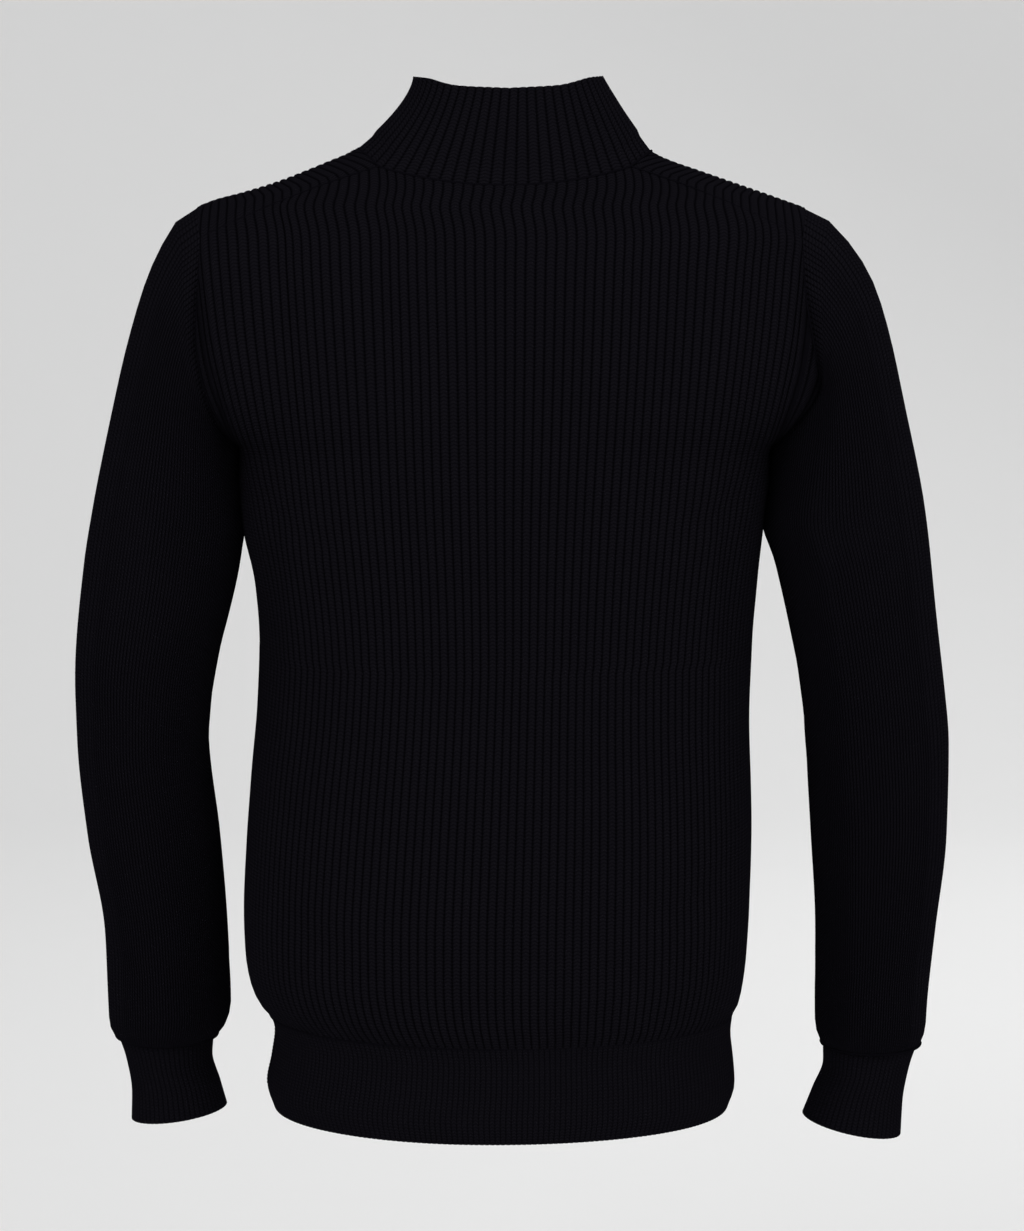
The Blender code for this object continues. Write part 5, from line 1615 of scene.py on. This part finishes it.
@dataclass
class KnitPiece:
    """One knitted piece as a thin shell on its lattice."""

    name: str
    grid: Array
    normals: Array
    gauge: Gauge
    closed: bool
    cloth: Cloth
    folds: Folds
    plain_foot: float = 0.0
    seam_rows: tuple[bool, bool] = (True, True)

    def ribs(self) -> Array:
        """Height of the ribs at each lattice point.

        Returns:
            Heights by row and column.
        """
        across, up = lattice_steps(self.grid, self.closed)
        area = np.linalg.norm(np.cross(across, up), axis=2)
        pitch = 0.5 * area / np.maximum(np.linalg.norm(up, axis=2), 1e-9)
        pitch = pitch * self.gauge.columns
        room = ease((pitch - self.gauge.crowded) / (self.gauge.clear - self.gauge.crowded))
        turn = np.arange(self.grid.shape[1]) / self.gauge.columns % 1.0
        profile = 1.0 - np.abs(2.0 * turn - 1.0) ** 2.4
        height = self.gauge.height * room * profile[None, :]
        steps = np.linalg.norm(np.diff(self.grid, axis=0), axis=2)
        climb = np.vstack([np.zeros(self.grid.shape[1]), np.cumsum(steps, axis=0)])
        if self.plain_foot > 0.0:
            height = height * ease((climb - self.plain_foot) / 0.003)
        if self.seam_rows[0]:
            height[0] *= 0.3
        if self.seam_rows[1]:
            height[-1] *= 0.3
        return height

    def layers(self) -> tuple[Array, Array, Array]:
        """Outer and inner points of the shell, and its knit map.

        Returns:
            The outer lattice, the inner lattice, and ribs and courses by point.
        """
        points = self.grid.reshape(-1, 3)
        if self.cloth in (Cloth.LEFT_SLEEVE, Cloth.RIGHT_SLEEVE):
            middle = self.grid[:, :, 1].mean(axis=1)
            centre_y = np.repeat(middle, self.grid.shape[1])
        else:
            centre_y = np.zeros(len(points))
        fold = self.folds.relief(self.cloth, points, centre_y).reshape(self.grid.shape[:2])
        outer = self.grid + self.normals * (self.ribs() + fold)[:, :, None]
        inner = self.grid + self.normals * (fold - WALL)[:, :, None]
        steps = np.linalg.norm(np.diff(self.grid, axis=0), axis=2)
        climb = np.vstack([np.zeros(self.grid.shape[1]), np.cumsum(steps, axis=0)])
        ribs = np.broadcast_to(np.arange(self.grid.shape[1]) / self.gauge.columns, climb.shape)
        return outer, inner, np.stack([ribs, climb / self.gauge.course], axis=2)

    def shell(self) -> bpy.types.Mesh:
        """The shell's mesh: a grid or tube, extruded to its second side.

        Returns:
            A closed mesh with its knit map.
        """
        outer, inner, knit = self.layers()
        rows, columns = self.grid.shape[:2]
        spaces = columns if self.closed else columns - 1
        form = bmesh.new()
        bmesh.ops.create_grid(form, x_segments=spaces, y_segments=rows - 1, size=0.5)
        row_layer = form.verts.layers.int.new("row")
        column_layer = form.verts.layers.int.new("column")
        side_layer = form.verts.layers.int.new("side")
        for vert in form.verts:
            vert[row_layer] = round((vert.co.y + 0.5) * (rows - 1))
            vert[column_layer] = round((vert.co.x + 0.5) * spaces) % columns
        if self.closed:
            for vert in form.verts:
                turn = 2.0 * math.pi * vert[column_layer] / columns
                vert.co = (math.cos(turn), math.sin(turn), vert.co.y)
            bmesh.ops.remove_doubles(form, verts=form.verts, dist=1e-6)
        raised = bmesh.ops.extrude_face_region(form, geom=form.faces[:])
        for item in raised["geom"]:
            if isinstance(item, bmesh.types.BMVert):
                item[side_layer] = 1
        mesh = bpy.data.meshes.new(self.name)
        form.to_mesh(mesh)
        form.free()
        count = len(mesh.vertices)
        read = {name: np.zeros(count, dtype=np.int32) for name in ("row", "column", "side")}
        for name, values in read.items():
            mesh.attributes[name].data.foreach_get("value", values)
        row, column, side = read["row"], read["column"], read["side"]
        places = np.where(side[:, None] == 1, inner[row, column], outer[row, column])
        mesh.vertices.foreach_set("co", places.astype(np.float32).ravel())
        self.write_map(mesh, knit, row, column, columns)
        for name in read:
            mesh.attributes.remove(mesh.attributes[name])
        mesh.update()
        turn_outwards(mesh)
        mesh.shade_smooth()
        mesh.set_sharp_from_angle(angle=math.radians(75.0))
        return mesh

    def write_map(self, mesh: bpy.types.Mesh, knit: Array, row: Array, column: Array,
                  columns: int) -> None:
        """Write ribs and courses to the mesh's own map.

        Args:
            mesh: The shell.
            knit: Ribs and courses by lattice point.
            row: Lattice row of each vertex.
            column: Lattice column of each vertex.
            columns: Columns of the lattice.
        """
        corners = np.zeros(len(mesh.loops), dtype=np.int32)
        mesh.loops.foreach_get("vertex_index", corners)
        values = knit[row[corners], column[corners]]
        if self.closed:
            quads = column[corners].reshape(-1, 4)
            wraps = (quads.max(axis=1) - quads.min(axis=1)) > columns // 2
            low = quads < columns // 2
            add = (wraps[:, None] & low).ravel()
            values[add, 0] += columns / self.gauge.columns
        layer = mesh.uv_layers.new(name=UV_NAME)
        layer.data.foreach_set("uv", values.astype(np.float32).ravel())

    def build(self, material: bpy.types.Material) -> Piece:
        """Make the piece.

        Args:
            material: Its knit.

        Returns:
            The object.
        """
        return add_piece(self.name, self.shell(), material)


def turn_outwards(mesh: bpy.types.Mesh) -> None:
    """Turn a closed mesh's faces to point out of its wall.

    Args:
        mesh: The closed mesh.
    """
    mesh.calc_loop_triangles()
    corners = np.zeros(3 * len(mesh.loop_triangles), dtype=np.int32)
    mesh.loop_triangles.foreach_get("vertices", corners)
    places = np.zeros(3 * len(mesh.vertices), dtype=np.float32)
    mesh.vertices.foreach_get("co", places)
    points = places.reshape(-1, 3).astype(float)[corners.reshape(-1, 3)]
    volume = np.einsum("ij,ij->i", points[:, 0], np.cross(points[:, 1], points[:, 2])).sum()
    if volume < 0.0:
        mesh.flip_normals()


def add_piece(name: str, mesh: bpy.types.Mesh, material: bpy.types.Material) -> Piece:
    """Link a mesh as a piece with its material.

    Args:
        name: Name of the piece.
        mesh: Its mesh, in place.
        material: Its finish.

    Returns:
        The object, at the origin.
    """
    mesh.name = name
    mesh.materials.clear()
    mesh.materials.append(material)
    piece = bpy.data.objects.new(name, mesh)
    bpy.context.scene.collection.objects.link(piece)
    return piece


def dress(piece: Piece, body: str, nodes: tuple[str, ...] = ()) -> Piece:
    """Say what carries a piece and the nodes that it stands for.

    Args:
        piece: The piece.
        body: The body that carries it.
        nodes: Nodes that it replaces.

    Returns:
        The piece.
    """
    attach(piece, body)
    if nodes:
        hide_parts(*nodes)
    LOG.info("%s: %d faces", piece.name, len(piece.data.polygons))
    return piece


@dataclass
class SeamRoll:
    """A linked seam: a thin roll of stitches along a line."""

    name: str
    line: Array
    radius: float
    closed: bool
    stitch: float = 0.0026

    def build(self, material: bpy.types.Material) -> Piece:
        """Make the roll.

        Args:
            material: Its finish.

        Returns:
            The object, a mesh.
        """
        length = float(np.linalg.norm(np.diff(self.line, axis=0), axis=1).sum())
        count = max(8, int(round(length / (self.stitch / 3.0))))
        places = resample(self.line, np.linspace(0.0, 1.0, count + 1))
        if self.closed:
            places = places[:-1]
        curve = bpy.data.curves.new(self.name, "CURVE")
        curve.dimensions = "3D"
        curve.bevel_depth = self.radius
        curve.bevel_resolution = 1
        curve.use_fill_caps = True
        spline = curve.splines.new("POLY")
        spline.points.add(len(places) - 1)
        for index, (point, place) in enumerate(zip(spline.points, places)):
            point.co = (*place, 1.0)
            point.radius = 1.0 if index % 3 else 0.66
        spline.use_cyclic_u = self.closed
        draft = bpy.data.objects.new(self.name + "_draft", curve)
        bpy.context.scene.collection.objects.link(draft)
        graph = bpy.context.evaluated_depsgraph_get()
        mesh = bpy.data.meshes.new_from_object(draft.evaluated_get(graph))
        bpy.data.objects.remove(draft)
        mesh.shade_smooth()
        return add_piece(self.name, mesh, material)


# ---------------------------------------------------------------- zip
class ZipPlace(NamedTuple):
    """One place on the zip: its point in the middle plane, its way up and its way out."""

    point: Vector
    along: Vector
    out: Vector


@dataclass
class Zip:
    """The front zip: teeth, tapes and hardware."""

    lattices: list
    chain_back: float = 0.0018
    chain_thick: float = 0.0020
    chain_half: float = 0.0030
    start: float = 0.0103
    stop: float = 0.0095
    pitch: float = 0.0024
    tooth: float = 0.00125
    head: float = 0.00055
    bevel: float = 0.00022

    def line(self) -> tuple[Array, Array]:
        """The cloth's zip edge and its normals, from the hem's foot to the collar's top.

        Returns:
            Points in the middle plane, and unit normals.
        """
        points = np.vstack([grid for grid, _ in self.lattices])
        normals = np.vstack([normal for _, normal in self.lattices])
        keep = [0]
        for index in range(1, len(points)):
            if np.linalg.norm(points[index] - points[keep[-1]]) > 0.002:
                keep.append(index)
        points, normals = points[keep].copy(), normals[keep].copy()
        points[:, 0] = 0.0
        normals[:, 0] = 0.0
        return points, normals / np.linalg.norm(normals, axis=1, keepdims=True)

    def places(self, shift: float) -> list[ZipPlace]:
        """Places of one side's teeth.

        Args:
            shift: Share of the pitch by which they are set on.

        Returns:
            One place for each tooth.
        """
        points, normals = self.line()
        steps = np.linalg.norm(np.diff(points, axis=0), axis=1)
        length = np.concatenate([[0.0], np.cumsum(steps)])
        marks = np.arange(self.start + shift * self.pitch, length[-1] - self.stop, self.pitch)
        found = []
        for mark in marks:
            point = Vector([np.interp(mark, length, points[:, axis]) for axis in range(3)])
            ahead = Vector([np.interp(mark + 0.003, length, points[:, a]) for a in range(3)])
            out = Vector([np.interp(mark, length, normals[:, axis]) for axis in range(3)])
            along = (ahead - point).normalized()
            out = (out - along * out.dot(along)).normalized()
            found.append(ZipPlace(point, along, out))
        return found

    def teeth(self, label: str, wing: int, material: bpy.types.Material) -> Piece:
        """One side's row of teeth, each a bevelled block with a narrower head.

        Args:
            label: Left or right.
            wing: +1 for the left, -1 for the right.
            material: Their finish.

        Returns:
            The object.
        """
        form = bmesh.new()
        middle = self.chain_back - 0.5 * self.chain_thick
        for place in self.places(0.0 if wing > 0 else 0.5):
            centre = place.point - place.out * middle
            for near, far, high, deep in ((0.0006, self.chain_half, self.tooth,
                                           self.chain_thick),
                                          (-self.head, 0.0010, 0.72 * self.tooth,
                                           0.62 * self.chain_thick)):
                spot = centre + Vector((wing * 0.5 * (near + far), 0.0, 0.0))
                turn = Matrix((Vector((far - near, 0.0, 0.0)), place.along * high,
                               place.out * deep)).transposed().to_4x4()
                bmesh.ops.create_cube(form, size=1.0, matrix=Matrix.Translation(spot) @ turn)
        bmesh.ops.bevel(form, geom=form.edges[:], offset=self.bevel, offset_type="OFFSET",
                        affect="EDGES", segments=1, profile=0.5, material=-1)
        bmesh.ops.recalc_face_normals(form, faces=form.faces[:])
        mesh = bpy.data.meshes.new("teeth")
        form.to_mesh(mesh)
        form.free()
        mesh.shade_smooth()
        mesh.set_sharp_from_angle(angle=math.radians(35.0))
        return add_piece(f"zip_teeth_{label}", mesh, material)

    def copied(self, node: str, name: str, material: bpy.types.Material,
               round_off: float, cuts: int = 0) -> Piece:
        """A merged copy of a node with softened edges.

        Args:
            node: The node to copy.
            name: Name of the piece.
            material: Its finish.
            round_off: Width of its rounded edges, or 0.
            cuts: Cuts along each edge.

        Returns:
            The object.
        """
        form = bmesh.new()
        form.from_mesh(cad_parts[node].data)
        bmesh.ops.remove_doubles(form, verts=form.verts, dist=1e-6)
        bmesh.ops.dissolve_limit(form, angle_limit=math.radians(1.0), verts=form.verts,
                                 edges=form.edges)
        if round_off > 0.0:
            sharp = [edge for edge in form.edges if edge.is_manifold
                     and edge.calc_face_angle() > math.radians(30.0)]
            bmesh.ops.bevel(form, geom=sharp, offset=round_off, offset_type="OFFSET",
                            affect="EDGES", segments=2, profile=0.5, material=-1,
                            clamp_overlap=True)
        if cuts:
            bmesh.ops.subdivide_edges(form, edges=form.edges[:], cuts=cuts,
                                      use_grid_fill=True)
        bmesh.ops.recalc_face_normals(form, faces=form.faces[:])
        mesh = bpy.data.meshes.new(name)
        form.to_mesh(mesh)
        form.free()
        mesh.shade_smooth()
        mesh.set_sharp_from_angle(angle=math.radians(40.0))
        return add_piece(name, mesh, material)


# ---------------------------------------------------------------- the cardigan
@dataclass
class Finishes:
    """All finishes of the garment."""

    knit: bpy.types.Material = field(
        default_factory=lambda: KnitFinish("wide_rib").material())
    fine: bpy.types.Material = field(
        default_factory=lambda: KnitFinish("fine_rib", slope=0.45).material())
    # band rib: less painted shade in its grooves
    trim: bpy.types.Material = field(
        default_factory=lambda: KnitFinish("band_rib", groove_shade=0.55).material())
    seam: bpy.types.Material = field(
        default_factory=lambda: SeamFinish("linked_seam").material())
    tape: bpy.types.Material = field(
        default_factory=lambda: TapeFinish("woven_tape").material())
    metal: bpy.types.Material = field(
        default_factory=lambda: MetalFinish("lacquered_metal").material())


@dataclass
class SubAssembly:
    """What every sub-assembly of the garment shares."""

    worn: WornForm
    folds: Folds
    finishes: Finishes


@dataclass
class BodyPanels(SubAssembly):
    """The back and the two fronts."""

    gauge: Gauge = Gauge(RIBS_BACK, 6, 0.0011, 0.00245)
    low_rows: int = 34
    back_fan_rows: int = 56
    front_fan_rows: int = 62
    back_flat: tuple[float, float] = (0.52, 0.62)
    back_area: float = 0.270
    front_flat: tuple[float, float] = (0.26, 0.66)
    front_area: float = 0.140

    def panel(self, name: str, node: str, wing: int | None, fan_rows: int) -> tuple:
        """Build and dress one panel.

        Args:
            name: Name of the piece.
            node: The node that it replaces.
            wing: None for the back, +1 for the left front, -1 for the right.
            fan_rows: Rows above the fan's level.

        Returns:
            The piece, and its first edge with that edge's normals.
        """
        rough = self.worn.panel(wing, self.low_rows, fan_rows)
        grid = finer_columns(rough, self.gauge.columns // 2, False)
        normals = self.worn.normals(grid)
        piece = KnitPiece(name, grid, normals, self.gauge, False, Cloth.BODY,
                          self.folds).build(self.finishes.knit)
        return dress(piece, "cardigan", (node,)), (grid[:, 0], normals[:, 0])

    def build(self) -> tuple[Array, Array]:
        """Build the three panels.

        Returns:
            The left front's zip edge and its normals.
        """
        back, _ = self.panel("back_panel", "back", None, self.back_fan_rows)
        edges = {}
        for label, wing in (("left", 1), ("right", -1)):
            front, edges[label] = self.panel(f"front_{label}_panel", f"front_{label}", wing,
                                             self.front_fan_rows)
        return edges["left"]


@dataclass
class HemBands(SubAssembly):
    """The hem bands of the back and the fronts."""

    rows: int = 16
    columns: int = 4
    height: float = 0.0005
    course: float = 0.0023
    flat_height: float = 0.067
    bands: tuple = (("hem_back", 1, None, 120, 0.49),
                    ("hem_front_left", -1, ZIP_EDGE_X, 60, 0.245),
                    ("hem_front_right", -1, -ZIP_EDGE_X, 60, 0.245))

    def build(self) -> tuple[Array, Array]:
        """Build the three bands.

        Returns:
            The left front band's zip edge and its normals.
        """
        edges = {}
        levels = np.linspace(HEM_BOTTOM_Z, HEM_SEAM_Z - SEAM_HALF_GAP, self.rows)
        for name, side, start_x, ribs, width in self.bands:
            gauge = Gauge(ribs, self.columns, self.height, self.course)
            fractions = np.linspace(0.0, 1.0, ribs * gauge.columns + 1)
            grid = np.stack([self.worn.section_row(z, side, fractions, start_x)
                             for z in levels])
            normals = self.worn.normals(grid)
            edges[name] = (grid[:, 0], normals[:, 0])
            piece = KnitPiece(f"{name}_band", grid, normals, gauge, False, Cloth.BODY,
                              self.folds, seam_rows=(False, True)).build(self.finishes.trim)
            dress(piece, "cardigan", (name,))
        return edges["hem_front_left"]


@dataclass
class StandCollar(SubAssembly):
    """The stand collar with its plain linking band."""

    gauge: Gauge = Gauge(RIBS_COLLAR, 6, 0.0011, 0.0024)
    linking_band: float = 0.013
    flat: tuple[float, float] = (0.48, 0.075)

    def build(self) -> tuple[Array, Array]:
        """Build the collar.

        Returns:
            Its left zip edge and that edge's normals.
        """
        grid, normals = CollarForm(self.worn).lattice(RIBS_COLLAR * self.gauge.columns)
        piece = KnitPiece("stand_collar", grid, normals, self.gauge, False, Cloth.ALL,
                          self.folds, plain_foot=self.linking_band,
                          seam_rows=(True, False)).build(self.finishes.knit)
        dress(piece, "cardigan", ("collar",))
        return grid[:, 0], normals[:, 0]


@dataclass
class Sleeves(SubAssembly):
    """The sleeves and cuffs of both arms."""

    sleeve_gauge: Gauge = Gauge(120, 4, 0.0006, 0.0025, 0.0006, 0.0018)
    cuff_gauge: Gauge = Gauge(56, 4, 0.0006, 0.0023, 0.0006, 0.0018)
    sleeve_flat: tuple[float, float] = (0.40, 0.60)
    sleeve_area: float = 0.185
    cuff_flat: tuple[float, float] = (0.21, 0.060)

    def build(self) -> None:
        """Build each sleeve and its cuff."""
        for label, wing, cloth in (("left", 1, Cloth.LEFT_SLEEVE),
                                   ("right", -1, Cloth.RIGHT_SLEEVE)):
            form = SleeveForm(self.worn, wing)
            grid, normals = form.lattice()
            piece = KnitPiece(f"sleeve_{label}_tube", grid, normals, self.sleeve_gauge, True,
                              cloth, self.folds).build(self.finishes.fine)
            dress(piece, "cardigan",
                  (f"upper_sleeve_{label}", f"lower_sleeve_{label}"))
            cuff = self.cuff_gauge
            grid, normals = form.cuff_lattice(cuff.ribs * cuff.columns)
            piece = KnitPiece(f"cuff_{label}_band", grid, normals, cuff, True, Cloth.ALL,
                              self.folds, seam_rows=(True, False)).build(self.finishes.trim)
            dress(piece, "cardigan", (f"cuff_{label}",))


@dataclass
class LinkedSeams(SubAssembly):
    """The linked seams between the pieces."""

    steps: int = 200
    wide: float = 0.0010
    middle: float = 0.0009
    narrow: float = 0.0008

    def lines(self) -> list[tuple[str, Array, bool, float]]:
        """Every seam's name, line, whether it is closed, and its radius.

        Returns:
            One row for each seam.
        """
        worn = self.worn
        steps = np.linspace(0.0, 1.0, self.steps)
        rows = [("neck", worn.neck_loop(), False, self.wide)]
        for label, wing in (("left", 1), ("right", -1)):
            ring = worn.armhole_ring(wing)
            rows.append((f"armhole_{label}", np.vstack([ring, ring[:1]]), True, self.wide))
            rows.append((f"shoulder_{label}", worn.shoulder_seam(steps, wing, SEAM_HALF_GAP),
                         False, self.middle))
            low = np.linspace(HEM_BOTTOM_Z + 0.001, UNDERARM_Z, self.steps)
            x = worn.body["centre_x"](low) + wing * worn.body["half_width"](low)
            rows.append((f"side_{label}", np.stack([x, 0.0 * x, low], axis=1), False,
                         self.narrow))
            ring = SleeveForm(worn, wing).lattice()[0][-1]
            rows.append((f"cuff_{label}", np.vstack([ring, ring[:1]]), True, self.wide))
        rows.append(("hem_back", worn.section_row(HEM_SEAM_Z, 1, steps), False, self.middle))
        for label, wing in (("left", 1), ("right", -1)):
            row = worn.section_row(HEM_SEAM_Z, -1, steps, wing * ZIP_EDGE_X)
            rows.append((f"hem_front_{label}", row, False, self.middle))
        return rows

    def build(self) -> None:
        """Build a roll of stitches along every seam."""
        for name, line, closed, radius in self.lines():
            piece = SeamRoll(f"seam_{name}", line, radius, closed).build(self.finishes.seam)
            dress(piece, "cardigan")


@dataclass
class FrontZip:
    """The front zip with its teeth, tapes and hardware."""

    closure: Zip
    finishes: Finishes
    tape_flat: tuple[float, float] = (0.015, 0.66)
    stop_edge: float = 0.0004
    hardware: tuple = (("zip_slider", "slider_body", "cardigan", 0.00022),
                       ("zip_box", "foot_box", "cardigan", 0.0005),
                       ("zip_pull_tab", "pull_tab_plate", "pull_tab", 0.00025))

    def build(self) -> None:
        """Build both halves of the zip, then the parts that join them."""
        metal = self.finishes.metal
        for label, wing in (("left", 1), ("right", -1)):
            teeth = self.closure.teeth(label, wing, metal)
            dress(teeth, "cardigan", (f"zip_chain_{label}",))
            tape = self.closure.copied(f"zip_tape_{label}", f"zip_cloth_{label}",
                                       self.finishes.tape, 0.0, 1)
            dress(tape, "cardigan", (f"zip_tape_{label}",))
            stop = self.closure.copied(f"zip_stop_{label}", f"top_stop_{label}", metal,
                                       self.stop_edge)
            dress(stop, "cardigan", (f"zip_stop_{label}",))
        for node, name, body, edge in self.hardware:
            piece = self.closure.copied(node, name, metal, edge)
            dress(piece, body, (node,))


@dataclass
class Studio:
    """Pale floor, soft lights and the camera."""

    floor_z: float = -1.05
    camera_place: tuple[float, float, float] = (-0.00476, 2.6, 0.05)
    camera_tilt: float = 7.972
    lens: float = 111.04

    def floor(self) -> None:
        """A pale floor that sweeps up into a wall on the far side."""
        form = bmesh.new()
        start = form.verts.new((-9.0, 6.0, self.floor_z))
        end = form.verts.new((9.0, 6.0, self.floor_z))
        made = bmesh.ops.extrude_edge_only(form, edges=[form.edges.new((start, end))])["geom"]
        bmesh.ops.translate(form, vec=Vector((0.0, -9.0, 0.0)),
                            verts=[v for v in made if isinstance(v, bmesh.types.BMVert)])
        edges = [e for e in made if isinstance(e, bmesh.types.BMEdge)
                 and all(abs(v.co.y + 3.0) < 1e-4 for v in e.verts)]
        bmesh.ops.spin(form, geom=edges, cent=(0.0, -3.0, self.floor_z + 1.5),
                       axis=(1.0, 0.0, 0.0), dvec=(0.0, 0.0, 0.0),
                       angle=-0.5 * math.pi, steps=24, use_merge=False)
        bmesh.ops.remove_doubles(form, verts=form.verts, dist=1e-5)
        top = max(v.co.z for v in form.verts)
        edges = [e for e in form.edges if all(abs(v.co.z - top) < 1e-4 for v in e.verts)]
        made = bmesh.ops.extrude_edge_only(form, edges=edges)["geom"]
        bmesh.ops.translate(form, vec=Vector((0.0, 0.0, 5.0)),
                            verts=[v for v in made if isinstance(v, bmesh.types.BMVert)])
        mesh = bpy.data.meshes.new("studio_floor")
        form.to_mesh(mesh)
        form.free()
        mesh.shade_smooth()
        floor = add_piece("studio_floor", mesh, PaperFinish("pale_paper").material())

    def light(self, name: str, place: tuple[float, float, float], size: float,
              power: float) -> None:
        """One soft area light aimed at the garment.

        Args:
            name: Its name.
            place: Where it stands.
            size: Side of its panel.
            power: Its power in watts.
        """
        lamp = bpy.data.lights.new(name, "AREA")
        lamp.shape = "SQUARE"
        lamp.size = size
        lamp.energy = power
        holder = bpy.data.objects.new(name, lamp)
        bpy.context.scene.collection.objects.link(holder)
        holder.location = place
        aim = Vector((0.0, 0.0, -0.30)) - Vector(place)
        holder.rotation_euler = aim.to_track_quat("-Z", "Y").to_euler()

    def build(self) -> None:
        """Floor, lights, world and camera."""
        self.floor()
        self.light("key", (1.9, 2.6, 1.5), 1.8, 30.0)
        self.light("fill", (-2.3, 2.2, 0.9), 2.2, 22.0)
        self.light("front_key", (-1.7, -2.4, 1.6), 2.0, 40.0)
        self.light("top", (0.0, 0.2, 2.4), 2.2, 6.0)
        world = bpy.data.worlds.new("studio_air")
        world.use_nodes = True
        air = world.node_tree.nodes["Background"]
        air.inputs["Color"].default_value = grey(0.80, 0.80, 0.80)
        air.inputs["Strength"].default_value = 0.85
        bpy.context.scene.world = world
        bpy.context.scene.view_settings.view_transform = "Standard"
        lens = bpy.data.cameras.new("camera")
        lens.lens = self.lens
        lens.sensor_width = 36.0
        lens.sensor_fit = "AUTO"
        lens.clip_start = 0.05
        holder = bpy.data.objects.new("camera", lens)
        bpy.context.scene.collection.objects.link(holder)
        holder.location = self.camera_place
        holder.rotation_euler = (math.radians(90.0 - self.camera_tilt), 0.0, math.pi)
        bpy.context.scene.camera = holder


def main() -> None:
    """Build the garment and its studio, piece by piece."""
    shared = (WornForm(), Folds(), Finishes())
    front_edge = BodyPanels(*shared).build()
    hem_edge = HemBands(*shared).build()
    collar_edge = StandCollar(*shared).build()
    Sleeves(*shared).build()
    LinkedSeams(*shared).build()
    FrontZip(Zip([hem_edge, front_edge, collar_edge]), shared[-1]).build()
    Studio().build()


if __name__ == "__main__":
    main()
